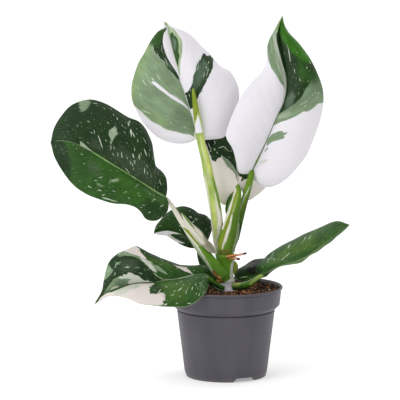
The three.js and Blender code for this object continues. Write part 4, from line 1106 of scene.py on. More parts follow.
            (0.58, -0.82, 0.56, -0.81, 0.7), (0.62, -0.56, 0.61, -0.5, 0.8),
            (0.63, -0.66, 0.62, -0.64, 0.8), (0.51, -0.71, 0.49, -0.71, 0.4),
            (0.4, -0.79, 0.39, -0.81, 0.6), (0.36, -0.59, 0.36, -0.55, 0.6),
            (0.3, -0.81, 0.29, -0.79, 0.6), (0.4, -0.38, 0.378, -0.19, 0.4),
            (0.53, -0.94, 0.49, -0.93, 1), (0.49, -0.93, 0.45, -0.94, 0.8),
            (0.16, -0.56, 0.13, -0.54, 1.4), (0.64, -0.84, 0.62, -0.84, 0.6),
        ],
        flecks=[(0.4, 0.4, 60, 0.08), (0.45, -0.5, 60, 0.07), (0.8, 0.1, 40, 0.09)],
    ),
    "leaf_small": dict(
        slot="leaf_dark", base="leaf",
        layers=[
            dict(tint="dark", soft=4, patches=[
                [(0.56, 1), (0.35, 1.25), (0.16, 1.25), (0.068, 0.23), (0.41, 0.16), (0.55, 0.43)],
                [(0.65, -0.81), (0.47, -0.26), (0.01, -0.85), (0.12, -1.25), (0.43, -1.25)]]),
            dict(tint="white", jag=0.7, patches=[
                [(1, -0.59), (0.92, -0.6), (0.72, -0.38), (0.495, 0), (0.55, -0.33), (0.69, -0.74),
                 (0.66, -0.88), (0.38, -0.82), (0.5, -0.98), (0.51, -1.25), (0.94, -1.25)]]),
            dict(tint="faint", soft=0.5, jag=1.5, patches=[
                [(0.74, -0.7), (0.65, -0.84), (0.56, -0.91), (0.6, -1), (0.71, -0.99)],
                [(0.96, -1), (0.84, -0.86), (0.75, -1), (0.9, -1.25)]]),
            dict(tint="grass", jag=0.1, soft=0.4, strength=0.7, rib=[(0.01, 0.97, 1.2, 0.8)]),
        ],
        streaks=[(0.49, 0.62, 0.48, 0.63, 1.2), (0.44, 0.4, 0.43, 0.58, 0.5)],
        flecks=[(0.3, 0.5, 26, 0.3), (0.7, 0.6, 30, 0.16)],
    ),
    "leaf_lower_left": dict(
        slot="leaf_mixed", base="leaf",
        layers=[
            dict(tint="dark", soft=0.8, jag=1.0, patches=[
                [(0.965, 0.26), (0.91, 0.97), (0.8, 0.97), (0.74, 1), (0.7, 1), (0.67, 0.95),
                 (0.66, 0.83), (0.6, 0.61), (0.57, 0.24), (0.557, 0.14), (0.54, 0.07), (0.51, 0.01),
                 (0.568, 0), (0.66, 0.06), (0.685, 0.18), (0.7, 0.29), (0.72, 0.33), (0.75, 0.34),
                 (0.78, 0.41), (0.81, 0.45), (0.85, 0.44), (0.9, 0.4)]]),
            # Painted sheen on the dark green patch.
            dict(tint="painted_sheen_on_dark", soft=3.5, jag=2, strength=0.6, patches=[
                [(0.69, 0.74), (0.62, 0.62), (0.65, 0.38), (0.71, 0.31), (0.75, 0.5)]]),
            dict(tint="dark", soft=1.0, patches=[
                [(0.54, 1), (0.47, 1.25), (0.41, 0.82), (0.31, 0.68), (0.26, 0.72), (0.32, 0.37),
                 (0.46, 0.47), (0.52, 0.53), (0.55, 0.65), (0.55, 0.81)]]),
            dict(tint="sage", jag=0.8, patches=[
                [(0.69, 0.92), (0.66, 0.99), (0.64, 1), (0.63, 0.98), (0.61, 0.91), (0.61, 0.81),
                 (0.59, 0.69), (0.57, 0.52), (0.54, 0.42), (0.54, 0.36), (0.51, 0.33), (0.478, 0.18),
                 (0.47, 0.12), (0.487, 0.13), (0.535, 0.23), (0.547, 0.18), (0.568, 0.22), (0.59, 0.39),
                 (0.59, 0.5), (0.6, 0.61), (0.62, 0.72), (0.65, 0.81), (0.66, 0.9)],
                [(0.76, 0.99), (0.76, 0.88), (0.77, 0.81), (0.77, 0.7), (0.79, 0.68), (0.82, 0.73),
                 (0.85, 0.92), (0.82, 1.25)],
                [(0.74, 0.76), (0.72, 0.78), (0.7, 0.68), (0.74, 0.71)],
                [(0.78, 0.38), (0.82, 0.44), (0.9, 0.31), (0.965, 0.01), (0.92, 0.03), (0.87, 0.04),
                 (0.76, 0), (0.738, 0.06), (0.74, 0.2)]]),
            dict(tint="deep_sage", soft=0.8, jag=1.5, patches=[
                [(0.787, 0.28), (0.75, 0.14), (0.758, 0.01), (0.82, 0.03), (0.863, 0.06), (0.835, 0.26)]]),
            dict(tint="faint", jag=1.0, patches=[
                [(0.59, 0.64), (0.55, 0.44), (0.545, 0.19), (0.565, 0.23), (0.58, 0.31), (0.58, 0.4),
                 (0.59, 0.51)],
                [(0.79, 0.37), (0.77, 0.36), (0.76, 0.31), (0.75, 0.36), (0.733, 0.29), (0.72, 0.33),
                 (0.703, 0.29), (0.698, 0.23), (0.675, 0.16), (0.667, 0.09), (0.65, 0.05),
                 (0.635, 0.07), (0.62, 0.03), (0.58, 0.01), (0.753, 0), (0.765, 0.09), (0.733, 0.13),
                 (0.748, 0.2), (0.775, 0.26)]]),
            dict(tint="pink_white", jag=0.7, patches=[
                [(0.66, 1.25), (0.54, 1.25), (0.55, 0.84), (0.56, 0.76), (0.56, 0.66), (0.56, 0.5),
                 (0.57, 0.53), (0.61, 0.78), (0.63, 0.99)],
                [(0.37, 0.53), (0.35, 0.44), (0.31, 0.42), (0.25, 0.42), (0.255, 0.29), (0.24, 0.21),
                 (0.235, 0.11), (0.21, 0.02), (0.295, 0.18), (0.35, 0.35)]]),
            dict(tint="cream", jag=0.5, patches=[
                [(0.96, 0.03), (0.92, 0.09), (0.878, 0.12), (0.855, 0.17), (0.838, 0.15), (0.82, 0.1),
                 (0.828, 0.04), (0.927, 0.01)]]),
            dict(tint="pale", jag=0.3, lines=[
                (0.568, 0.19, 0.55, 0.09, 1.5), (0.55, 0.09, 0.522, 0.03, 1.2),
                (0.522, 0.03, 0.453, 0, 0.9)]),
            dict(tint="pink_white", jag=1.6, patches=[
                [(0.6, -0.09), (0.605, -0.23), (0.62, -0.25), (0.62, -0.34), (0.64, -0.36),
                 (0.63, -0.43), (0.64, -0.54), (0.63, -0.56), (0.63, -0.66), (0.6, -0.64),
                 (0.59, -0.66), (0.57, -0.6), (0.54, -0.62), (0.53, -0.69), (0.54, -0.74),
                 (0.53, -0.79), (0.53, -0.86), (0.55, -0.87), (0.54, -0.91), (0.55, -0.94),
                 (0.52, -0.93), (0.53, -0.96), (0.62, -1), (0.62, -1.25), (0.99, -1.25), (0.94, -0.43),
                 (0.86, -0.71), (0.82, -0.54), (0.78, -0.28), (0.708, -0.12)]]),
            dict(tint="faint", soft=1.5, jag=2.5, patches=[
                [(0.85, -0.72), (0.81, -0.47), (0.743, -0.27), (0.695, -0.19), (0.677, -0.24),
                 (0.71, -0.44), (0.75, -0.56), (0.77, -0.76), (0.81, -0.91), (0.85, -0.94)]]),
            dict(tint="deep_sage", soft=0.4, jag=1.0, strength=0.8, lines=[
                (0.82, -0.59, 0.703, -0.23, 1), (0.78, -0.61, 0.698, -0.28, 0.6),
                (0.73, -0.53, 0.695, -0.21, 0.6)]),
            dict(tint="dark", soft=2.5, jag=1.5, strength=0.8, patches=[
                [(0.625, -0.28), (0.573, -0.14), (0.54, -0.33), (0.55, -0.58), (0.59, -0.63),
                 (0.62, -0.62)]]),
            dict(tint="moss", soft=6, strength=0.6, patches=[
                [(0.557, -0.19), (0.432, -0.14), (0.34, -0.47), (0.4, -0.76), (0.47, -0.88),
                 (0.52, -0.83), (0.54, -0.58)],
                [(0.53, 0.54), (0.42, 0.52), (0.39, 0.39), (0.44, 0.3), (0.55, 0.46)]]),
            dict(tint="pale", jag=0.1, soft=0.3, rib=[(0.01, 0.58, 1.5, 1.3)]),
            dict(tint="dark", jag=0.1, soft=0.4, rib=[(0.58, 0.99, 1.6, 1.2)]),
            dict(tint="pale", jag=0.2, soft=0.25, edge=0.45, strength=0.6),
        ],
        streaks=[
            (0.71, 0.51, 0.69, 0.46, 0.9), (0.74, 0.73, 0.75, 0.69, 0.7), (0.68, 0.88, 0.66, 0.84, 0.8),
            (0.78, 0.58, 0.78, 0.53, 0.7), (0.723, 0.16, 0.7, 0.11, 0.4),
            (0.58, -0.62, 0.56, -0.49, 0.8), (0.45, -0.59, 0.42, -0.51, 1.1),
            (0.38, -0.21, 0.413, -0.29, 0.6), (0.3, -0.61, 0.31, -0.66, 0.7),
            (0.34, -0.64, 0.35, -0.69, 0.8), (0.39, -0.62, 0.4, -0.71, 0.6),
            (0.52, -0.38, 0.52, -0.45, 0.6), (0.5, -0.71, 0.48, -0.7, 0.7),
            (0.4, -0.94, 0.38, -0.97, 0.7), (0.47, -0.92, 0.46, -0.91, 0.6),
            (0.44, -0.28, 0.44, -0.34, 0.6), (0.29, -0.82, 0.29, -0.85, 0.6),
        ],
        flecks=[(0.3, -0.5, 38, 0.34), (0.6, 0.5, 40, 0.12)],
    ),
    "leaf_right": dict(
        slot="leaf_mixed", base="leaf", dots=DULL_FLECKS,
        layers=[
            dict(tint="dark", soft=4, patches=[
                [(0.25, -1), (0.36, -0.93), (0.34, -0.53), (0.215, -0.24), (0.065, -0.21),
                 (0.17, -0.64), (0.21, -0.91)]]),
            dict(tint="moss", soft=5, jag=2, strength=0.9, patches=[
                [(0.28, -0.19), (0.5, -0.64), (0.66, -0.68), (0.77, -0.69), (0.708, -0.1),
                 (0.56, -0.26), (0.38, -0.13)],
                [(0.16, 0.41), (0.432, 0.04), (0.672, 0), (0.77, 0.52), (0.54, 1.25), (0.33, 1.25)]]),
            # Painted shade: near black in the fold between the basal lobe and the blade.
            dict(tint="deep", soft=0.5, jag=0.4, patches=[
                [(0.24, -0.65), (0.28, -0.66), (0.33, -0.8), (0.37, -0.97), (0.38, -0.99), (0.4, -0.93),
                 (0.34, -0.56), (0.32, -0.54), (0.27, -0.44), (0.23, -0.41), (0.17, -0.45),
                 (0.18, -0.55), (0.22, -0.61)]]),
            dict(tint="pale", jag=0.3, lines=[(0.2, -0.93, 0.18, -0.71, 1.4)]),
            dict(tint="sage", jag=1.2, strength=0.7, lines=[(0.33, -0.33, 0.5, -0.86, 2.7)]),
            dict(tint="grass", jag=0.1, soft=0.5, strength=0.7, rib=[(0.01, 0.97, 1.4, 1.0)]),
            dict(tint="pale", jag=0.2, soft=0.3, strength=0.5, edge=0.5),
        ],
        streaks=[
            (0.56, -0.59, 0.59, -0.7, 1.2), (0.413, -0.21, 0.47, -0.3, 1),
            (0.47, -0.3, 0.53, -0.38, 1.1), (0.68, -0.57, 0.7, -0.71, 0.8),
            (0.7, -0.5, 0.73, -0.59, 0.9), (0.65, -0.51, 0.67, -0.55, 0.5),
            (0.42, -0.5, 0.38, -0.3, 0.7), (0.46, 0.79, 0.48, 0.81, 0.6), (0.49, 0.91, 0.55, 0.67, 0.6),
        ],
        flecks=[(0.74, -0.4, 36, 0.5), (0.8, 0.4, 40, 0.4)],
    ),
    "petiole_left_sheath": dict(
        slot="petiole_cream", base="cream",
        layers=[
            # Painted shade: the sheath darkened low down and along its side.
            dict(tint="painted_shade_greige", soft=2.5, jag=1.2, patches=[
                [(-0.1, -1.3), (0.3, -1.3), (0.38, -0.2), (0.5, 0.3), (0.5, 1.3), (-0.1, 1.3)]]),
            dict(tint="painted_shade_greige", soft=1.2, strength=0.5, patches=[
                [(0.4, 0.5), (0.8, 0.5), (0.8, 1.3), (0.4, 1.3)]]),
            dict(tint="grass", soft=0.8, patches=[
                [(0.74, -0.4), (1.1, -0.9), (1.1, 0.6), (0.7, 0.2)]]),
        ],
    ),
    "petiole_back_sheath": dict(
        slot="leaf_dark", base="leaf",
        layers=[dict(tint="grass", soft=1.2, edge=0.8)],
    ),
}


def flat_faces(rows, width):
    """Faces of one side of a blade: its first and last rows are single points."""

    def at(i, j):
        return 1 + (i - 1) * width + j

    i, j = np.meshgrid(np.arange(1, rows - 1), np.arange(width - 1), indexing="ij")
    quads = np.stack([at(i, j), at(i, j + 1), at(i + 1, j + 1), at(i + 1, j)], -1)
    faces = quads.reshape(-1, 4).tolist()
    tip = at(rows, 0)
    for j in range(width - 1):
        faces.append([0, at(1, j + 1), at(1, j)])
        faces.append([tip, at(rows - 1, j), at(rows - 1, j + 1)])
    rim = [0, *(at(i, 0) for i in range(1, rows)), tip, *(at(i, width - 1) for i in range(rows - 1, 0, -1))]
    return faces, rim


def packed_rows(grid):
    """Values of a blade's grid in the order of its points."""
    middle = grid.shape[1] // 2
    inner = grid[1:-1].reshape(-1, *grid.shape[2:])
    return np.concatenate([grid[:1, middle], inner, grid[-1:, middle]])


def on_both_faces(grid):
    return np.concatenate([packed_rows(grid)] * 2)


def side_depths(layer, along, across, length, widths, rib_mm, edge_mm):
    """Depths in a layer on a blade whose halves have different widths."""
    depths = [layer_depth(layer, along, across, (length, width), rib_mm, edge_mm) for width in widths]
    return np.where(across < 0, *depths)


def blade(name, shape, rows, half, veins):
    """A closed thin leaf blade with a grooved midrib, a ridge behind it and sunk side veins."""
    looks = MARKINGS[name]
    mid, left, right = Path(shape["mid"]), Path(shape["left"]), Path(shape["right"])
    along = np.linspace(0, 1, rows + 1)
    # The columns are closest at the midrib.
    spread = np.linspace(-1, 1, 2 * half + 1)
    across = np.sign(spread) * np.abs(spread) ** 1.25
    on_mid = along**FAN
    rib = mid.at(on_mid)[:, None]
    edge = np.where(across[None, :, None] < 0, left.at(along)[:, None], right.at(along)[:, None])
    share = np.abs(across)[None, :, None]
    # Near its ends, where the edges meet, a blade faces as it does a little further in.
    steady = np.clip(along, 0.12, 0.9)
    facing = unit(np.cross(right.at(steady) - left.at(steady), mid.tangent(on_mid)))[:, None]
    arch = np.where(across < 0, shape["arch"], shape.get("right_arch", shape["arch"]))[None, :, None]
    bulge = arch * 4 * share * (1 - share) * np.sin(np.pi * along)[:, None, None] ** 0.8
    sheet = rib + (edge - rib) * share + facing * bulge
    half_mm = np.linalg.norm(edge - rib, axis=-1)
    rib_mm = np.abs(across) * half_mm
    edge_mm = (1 - np.abs(across)) * half_mm

    normal = np.broadcast_to(facing, sheet.shape).copy()
    slopes = np.cross(np.gradient(sheet, axis=1), np.gradient(sheet, axis=0))
    normal[1:-1] = unit(slopes[1:-1])
    length, widths = mid.length, (half_mm[:, 0].max(), half_mm[:, -1].max())
    nominal = np.where(across < 0, *widths)
    lengthwise = along[:, None] + 0 * across
    sideways = across + 0 * lengthwise
    # The side veins run outwards and lean towards the tip.
    vein_row = lengthwise * length - VEIN_LEAN * np.abs(sideways) * nominal
    if veins:
        # The blade is quilted between its veins. It swells a little, and its edges are wavy.
        body = rise(rib_mm, 1.5, 9) * rise(edge_mm, 0, 9) * rise(lengthwise, 0.02, 0.12)
        beat = veins * (vein_row / length + 0.01 * np.sign(sideways))
        beat = beat + 0.3 * ripple(6 * lengthwise, sideways)
        quilt = 0.3 * (np.abs(np.sin(np.pi * beat)) ** 0.7 - 0.6) * body
        wave = ripple(9 * lengthwise, 0.8 * sideways, nominal / 9) * np.abs(sideways) ** 3
        swell = ripple(3 * lengthwise, 1.3 * sideways, 5.0 + nominal / 7) * rise(edge_mm, 0, 12)
        calm = rise(lengthwise, 0, 0.1) * rise(lengthwise, 1, 0.93)
        sheet = sheet + normal * (quilt + (1.5 * wave + 1.2 * swell) * calm)[..., None]
    taper = np.minimum(1, 5 * lengthwise + 0.15) * (1.02 - lengthwise)
    thick = BLADE_MM / 2 * (1 - 0.5 * np.abs(sideways) ** 8) * (0.1 + 0.9 * rise(lengthwise, 1, 0.97))
    groove = 0.4 * np.exp(-((rib_mm / 0.9) ** 2)) * taper if veins else 0
    ridge = shape["rib"] * taper * np.sqrt(np.maximum(0, 1 - (rib_mm / (1.1 * shape["rib"] + 0.3)) ** 2))
    front = sheet + normal * (thick - groove)[..., None]
    back = sheet - normal * (thick + ridge)[..., None]

    faces, rim = flat_faces(rows, len(across))
    size = 2 + (rows - 1) * len(across)
    faces += [[k + size for k in reversed(face)] for face in faces]
    faces += [[a, b, b + size, a + size] for a, b in zip(rim, rim[1:] + rim[:1])]
    attributes = {"under": np.repeat([0.0, 1.0], size)}
    for k, layer in enumerate(looks["layers"]):
        depth = side_depths(layer, lengthwise, sideways, length, widths, rib_mm, edge_mm)
        attributes[f"zone_{k}"] = on_both_faces(depth)
    flecks = np.zeros_like(lengthwise)
    for a, b, radius, density in looks.get("flecks", []):
        reach = np.hypot((lengthwise - a) * length, (sideways - b) * nominal)
        flecks = np.maximum(flecks, density * np.exp(-((reach / radius) ** 2)))
    attributes["flecks"] = on_both_faces(flecks)
    place = on_both_faces(np.stack([lengthwise * length, sideways * nominal, vein_row], -1))
    streaks = [
        (a * length, b * widths[b > 0], c * length, d * widths[d > 0], width)
        for a, b, c, d, width in looks.get("streaks", [])
    ]
    material = tissue(name + "_tissue", looks["base"], looks["layers"], streaks, ALONG_LEAF,
                      vein_mm=4.5 if veins else 0, dots=looks.get("dots", FLECKS))
    points = np.concatenate([packed_rows(front), packed_rows(back)])
    make_piece(name + "_blade", points, faces, material, [name], attributes, place)


for name, shape in STALKS.items():
    stalk(name, **shape)
for name, shape in LEAVES.items():
    blade(name, shape, ROWS, HALF, SIDE_VEINS)
for name, shape in SHEATHS.items():
    blade(name, shape, 40, 16, 0)


# Stem

STEM_LEVELS = [    # x, y, z, half width, half depth
    (-0.5, 0, 77.3, 8.6, 8.6), (-0.5, 0, 90, 8.3, 8.3), (-1, 0, 97.5, 8, 8), (-1.2, 0, 101.5, 8.5, 8.4),
    (-1.4, 0, 104.5, 7.8, 7.8), (-1.5, 0.5, 113.5, 7.7, 8.2), (-1.4, 1.5, 121.5, 8.2, 9.2),
    (-1, 2.6, 126, 10, 11.8), (-1, 3, 128.2, 10.4, 12.4), (-1, 3, 129.5, 9.8, 11.8),
]
STEM_LENGTH, STEM_RADIUS = 52.2, 8
# The scars of lost leaves ring the stem: height, how far they stand out, and half width.
STEM_RINGS = [(101.5, 0.5, 1.1), (121.5, 0.35, 0.9)]
# How far each stands out, where and how wide it is in radians, and at which height it is gone
# and at which it is full.
STEM_RIDGE = dict(out=2.4, angle=0.88 * np.pi, half=0.35, gone=129.4, full=125)
STEM_SPREAD = dict(out=1.8, angle=0.5 * np.pi, half=0.9, gone=97, full=90)
STEM_LAYERS = [
    dict(tint="white", soft=0.8, jag=1.2, patches=[
        [(-0.1, -1.3), (-0.1, 1.3), (0.36, 1.3), (0.4, 0.6), (0.5, 0.42), (0.48, 0.2), (0.43, 0),
         (0.38, -0.3), (0.34, -1.3)]]),
    dict(tint="faint", soft=0.4, lines=[(0.2, 0.36, 0.96, 0.38, 6.0)]),
    dict(tint="brown", soft=0.8, jag=1.2, strength=0.85,
         patches=[[(0.4, -0.65), (0.5, -0.62), (0.52, -0.3), (0.46, -0.02), (0.41, -0.05), (0.44, -0.4)]],
         lines=[(0.93, -0.1, 0.93, 0.5, 1.4)]),
    dict(tint="root", soft=0.5, jag=0.8, lines=[(0.46, -0.5, 0.44, -0.2, 1.8)]),
]


def stem():
    """The stem. Its rings run from the left over the front to the right, as on a stalk."""
    curve = Path(STEM_LEVELS)
    along = np.linspace(0, 1, 80)
    angle = 2 * np.pi * np.arange(STALK_SIDES) / STALK_SIDES
    levels = curve.at(along)[:, None]
    x, y, z, half_wide, half_deep = (levels[..., k] for k in range(5))
    swell = sum(out * np.exp(-(((z - height) / half) ** 2)) for height, out, half in STEM_RINGS)
    # The sheath of the right petiole runs down the right side, and the foot spreads at the front.
    for part in (STEM_RIDGE, STEM_SPREAD):
        bump = part["out"] * np.exp(-(((angle - part["angle"]) / part["half"]) ** 2))
        swell = swell + bump * rise(z, part["gone"], part["full"])
    lumps = 1 + 0.02 * ripple(2 * np.cos(angle), 2 * np.sin(angle), z / 5)
    rings = np.stack([
        x - (half_wide + swell) * lumps * np.cos(angle),
        y - (half_deep + swell) * lumps * np.sin(angle),
        z + 0 * angle,
    ], -1)
    points, faces = loft(rings)
    lengthwise = along[:, None] + 0 * angle
    around = (angle / np.pi + 0.5) % 2 - 1 + 0 * lengthwise
    place = np.stack(np.broadcast_arrays(STEM_RADIUS * np.cos(angle), STEM_RADIUS * np.sin(angle), z), -1)
    scale = (STEM_LENGTH, STEM_RADIUS * np.pi)
    zones = {
        f"zone_{k}": with_ends(layer_depth(layer, lengthwise, around, scale)[..., None])
        for k, layer in enumerate(STEM_LAYERS)
    }
    material = tissue("stem_skin", "grass", STEM_LAYERS)
    make_piece("stem_skin", points, faces, material, ["stem"], zones, with_ends(place))


stem()


# Pot

POT = dict(height=95.7, rim_radius=60, bead=3, band_top=58.6, band_foot=57, band_z=75.8, body_top=51.8,
           body_z=70.9, foot=42.5, bevel=1.4, bevel_z=5.5, floor_z=6, floor=1.8, skirt=38.5, pad=14)
POT_INSIDE = [(40.3, 6), (42.3, 7.5), (50.2, 71.4), (55.4, 74.8), (57, 95.7)]
POT_SIDES = 144
NOTCH = dict(count=3, angle=27.3, foot_width=26, top_width=19, height=4.2, depth=12)
DRAIN = dict(radius=4.5, ring=28, low=-3, high=9)


def polypropylene():
    """Injection-moulded polypropylene with a spark-eroded mould finish: satin, finely grained.

    The real grain is about 0.1 mm and wouldn't show, so it is drawn at 0.45 mm.
    """
    material, tree = new_material("moulded_polypropylene")
    place = add(tree, "TexCoord")["Object"]
    grain = add(tree, "TexNoise", Vector=place, Scale=1 / (0.45 * MM), Detail=2.0)[0]
    upright = add(tree, "VectorMath", place, (1, 1, 0.3), operation="MULTIPLY")[0]
    flow = add(tree, "TexNoise", Vector=upright, Scale=1 / (22 * MM), Detail=4.0)[0]
    height = add(tree, "SeparateXYZ", place)[2]
    mask = add(tree, "MapRange", flow, 0.3, 0.7, interpolation_type="SMOOTHSTEP")[0]
    colour = add(tree, "Mix", mask, data_type="RGBA", _6=linear("#43404a"), _7=linear("#4d4954"))[2]
    # Lip: its edge is painted paler and browner, partly as a painted highlight along the bead and partly as
    # rubbing from handling.
    lip = add(tree, "MapRange", height, 94.3 * MM, 95.5 * MM, interpolation_type="SMOOTHSTEP")[0]
    wear_and_highlight_grain = add(tree, "MapRange", grain, 0.35, 0.6, interpolation_type="SMOOTHSTEP")[0]
    lip_wear_and_highlight = add(tree, "Math", lip, wear_and_highlight_grain, operation="MULTIPLY")[0]
    mask = add(tree, "Math", lip_wear_and_highlight, 0.7, operation="MULTIPLY")[0]
    colour = add(tree, "Mix", mask, data_type="RGBA", _6=colour, _7=linear("#6d574d"))[2]
    dust = add(tree, "MapRange", height, 6 * MM, 0.0, 0.0, 0.25, interpolation_type="SMOOTHSTEP")[0]
    colour = add(tree, "Mix", dust, data_type="RGBA", _6=colour, _7=linear("#7a7068"))[2]
    gloss = add(tree, "MapRange", flow, 0.3, 0.7, 0.42, 0.52, interpolation_type="SMOOTHSTEP")[0]
    finish_material(tree, grain, 0.05, Base_Color=colour, Roughness=gloss, IOR=1.49)
    return material


def rounded(profile, radius, steps=3):
    """A profile whose inner corners are rounded."""
    out = [profile[0]]
    for before, here, after in zip(profile, profile[1:], profile[2:]):
        a, b, c = (np.array(p, float) for p in (before, here, after))
        reach = min(radius, np.linalg.norm(a - b) / 2.2, np.linalg.norm(c - b) / 2.2)
        start, end = b + reach * unit(a - b), b + reach * unit(c - b)
        for t in np.linspace(0, 1, steps + 1):
            out.append(tuple((1 - t) ** 2 * start + 2 * t * (1 - t) * b + t**2 * end))
    return [*out, profile[-1]]


def cut_solid(piece, name, outlines, centre, turn):
    """Takes a solid between a lower and an upper outline out of a piece, both in its own axes."""
    points = outlines[0] + outlines[1]
    count = len(outlines[0])
    faces = ring_faces(2, count) + [list(range(count))[::-1], list(range(count, 2 * count))]
    mesh = bpy.data.meshes.new(name)
    spin = np.array([[math.cos(turn), -math.sin(turn), 0], [math.sin(turn), math.cos(turn), 0], [0, 0, 1]])
    mesh.from_pydata(((np.array(points) @ spin.T + centre) * MM).tolist(), [], faces)
    tool = bpy.data.objects.new(name, mesh)
    bpy.context.collection.objects.link(tool)
    cut = piece.modifiers.new(name, "BOOLEAN")
    cut.operation = "DIFFERENCE"
    cut.object = tool
    return tool


def pot():
    """A turned shell, from the pad under its floor round the outside to the floor's upper face,
    from which the notches in its foot and the drainage holes are cut."""
    p = POT
    lip, skirt_top = p["height"] - p["bead"], p["floor_z"] - p["floor"]
    profile = [
        (p["pad"], 0), (p["pad"] + 1.5, skirt_top), (p["skirt"], skirt_top), (p["skirt"] + 0.8, 0),
        (p["foot"], 0), (p["foot"] + p["bevel"], p["bevel_z"]), (p["body_top"], p["body_z"] - 0.6),
        (p["body_top"] - 1.1, p["body_z"] - 0.2), (p["body_top"] - 1.1, p["body_z"] + 0.5),
        (p["body_top"] + 0.5, p["body_z"] + 0.8),
        (p["band_foot"] - 1.6, p["band_z"] - 0.9), (p["band_foot"] - 1.2, p["band_z"] + 0.1),
        (p["band_foot"] - 0.2, p["band_z"] + 0.2), (p["band_foot"], p["band_z"] + 0.7),
        (p["band_top"], lip - 0.6), (p["band_top"] - 0.3, lip - 0.3), (p["band_top"], lip),
        (p["rim_radius"], lip + 0.6), (p["rim_radius"], p["height"] - 0.7),
        (p["rim_radius"] - 0.8, p["height"]), (p["rim_radius"] - 1.6, p["height"] - 0.3),
        (POT_INSIDE[-1][0], p["height"] - 2.4), *reversed(POT_INSIDE[:-1]), (1, p["floor_z"]),
    ]
    profile = [(1, 0), *rounded(profile, 0.7)]
    angle = 2 * np.pi * np.arange(POT_SIDES) / POT_SIDES
    rings = np.array([[(r * math.cos(a), r * math.sin(a), z) for a in angle] for r, z in profile])
    points, faces = loft(rings)
    material = polypropylene()
    piece = make_piece("nursery_pot", points, faces, material, ["pot"], crease=35)
    tools = []
    for k in range(NOTCH["count"]):
        turn = math.radians(NOTCH["angle"] + 360 / NOTCH["count"] * k)
        direction = np.array([math.sin(turn), -math.cos(turn), 0])
        # A notch narrows upwards, and its tool starts as far below the foot as it ends above it.
        deep, top = NOTCH["depth"] / 2, NOTCH["top_width"] / 2
        slope = (NOTCH["foot_width"] - NOTCH["top_width"]) / 2
        notch = [
            [(-half, -deep, z), (half, -deep, z), (half, deep, z), (-half, deep, z)]
            for half, z in ((top + 2 * slope, -NOTCH["height"]), (top, NOTCH["height"]))
        ]
        tools.append(cut_solid(piece, "notch_tool", notch, direction * p["foot"], turn))
        drain = [
            [(DRAIN["radius"] * math.cos(a), DRAIN["radius"] * math.sin(a), z) for a in angle[::4]]
            for z in (DRAIN["low"], DRAIN["high"])
        ]
        tools.append(cut_solid(piece, "drain_tool", drain, direction * DRAIN["ring"], turn))
    graph = bpy.context.evaluated_depsgraph_get()
    carved = bpy.data.meshes.new_from_object(piece.evaluated_get(graph))
    piece.modifiers.clear()
    piece.data = carved
    carved.set_sharp_from_angle(angle=math.radians(35))
    for tool in tools:
        bpy.data.objects.remove(tool)


pot()


# Potting mix: peat, bark chips, fibres and a few grains of perlite

SOIL = dict(floor=6.3, level=93.2, dip=6.5, dip_radius=18, bump=0.8, clearance=0.6)
STEM_FOOT = (-0.5, 0)


def soil_height(x, y):
    """Height of the soil, which is sunk round the stem's foot."""
    distance = np.hypot(x - STEM_FOOT[0], y - STEM_FOOT[1])
    sunk = SOIL["dip"] * np.exp(-((distance / SOIL["dip_radius"]) ** 2))
    waves = np.sin(0.31 * x + 1) * np.cos(0.27 * y) + np.sin(0.19 * (x + 2 * y))
    return SOIL["level"] - sunk + SOIL["bump"] * waves / 2


def earth(name, tones, pore_mm):
    """A loose part of the potting mix, such as damp peat or composted bark: dull and crumbly. Its colour
    follows the same crumb as its bump, so its pores are painted darkest, as the shade in them."""
    material, tree = new_material(name)
    place = add(tree, "TexCoord")["Object"]
    crumb = add(tree, "TexNoise", Vector=place, Scale=1 / (pore_mm * MM), Detail=5.0, Roughness=0.7)[0]
    uneven = add(tree, "Math", crumb, 0.5, operation="MULTIPLY")[0]
    own_tone = add(tree, "Attribute", attribute_name="tone")["Fac"]
    # Low crumb, in the pores, gives the darkest tones: painted shade.
    tone = add(tree, "Math", own_tone, uneven, operation="ADD")[0]
    colour = add(tree, "ValToRGB", tone)[0]
    stops = colour.node.color_ramp.elements
    while len(stops) < len(tones):
        stops.new(0.5)
    for k, hex_colour in enumerate(tones):
        stops[k].position = 0.2 + k / (len(tones) - 1)
        stops[k].color = linear(hex_colour)
    finish_material(tree, crumb, 0.6, Base_Color=colour, Roughness=0.92, IOR=1.4)
    return material


def soil_body():
    """The root ball with its crumbled top. Returns the radius of the top."""
    count = 128
    angle = 2 * np.pi * np.arange(count) / count
    rings = []
    for radius, z in POT_INSIDE[:4]:
        radius -= SOIL["clearance"]
        height = max(z, SOIL["floor"]) + 0 * angle
        rings.append(np.stack([radius * np.cos(angle), radius * np.sin(angle), height], -1))
    (low_radius, low_z), (top_radius, top_z) = POT_INSIDE[3:]
    filled, deep = SOIL["level"] - low_z, top_z - low_z
    brim = low_radius + (top_radius - low_radius) * filled / deep - SOIL["clearance"]
    for share in np.linspace(1, 0.03, 40):
        x, y = brim * share * np.cos(angle), brim * share * np.sin(angle)
        crumbs = 0.9 * ripple(x / 4, y / 4) + 0.5 * ripple(x / 1.6, y / 1.6)
        rings.append(np.stack([x, y, soil_height(x, y) + crumbs * min(1, 8 * (1 - share))], -1))
    points, faces = loft(np.array(rings))
    tone = 0.25 + 0.35 * ripple(points[:, 0] / 5, points[:, 1] / 5)
    material = earth("damp_peat", ["#160c07", "#321b0f", "#59331d"], 1.0)
    make_piece("potting_mix", points, faces, material, ["soil"], {"tone": tone}, crease=80)
    return brim


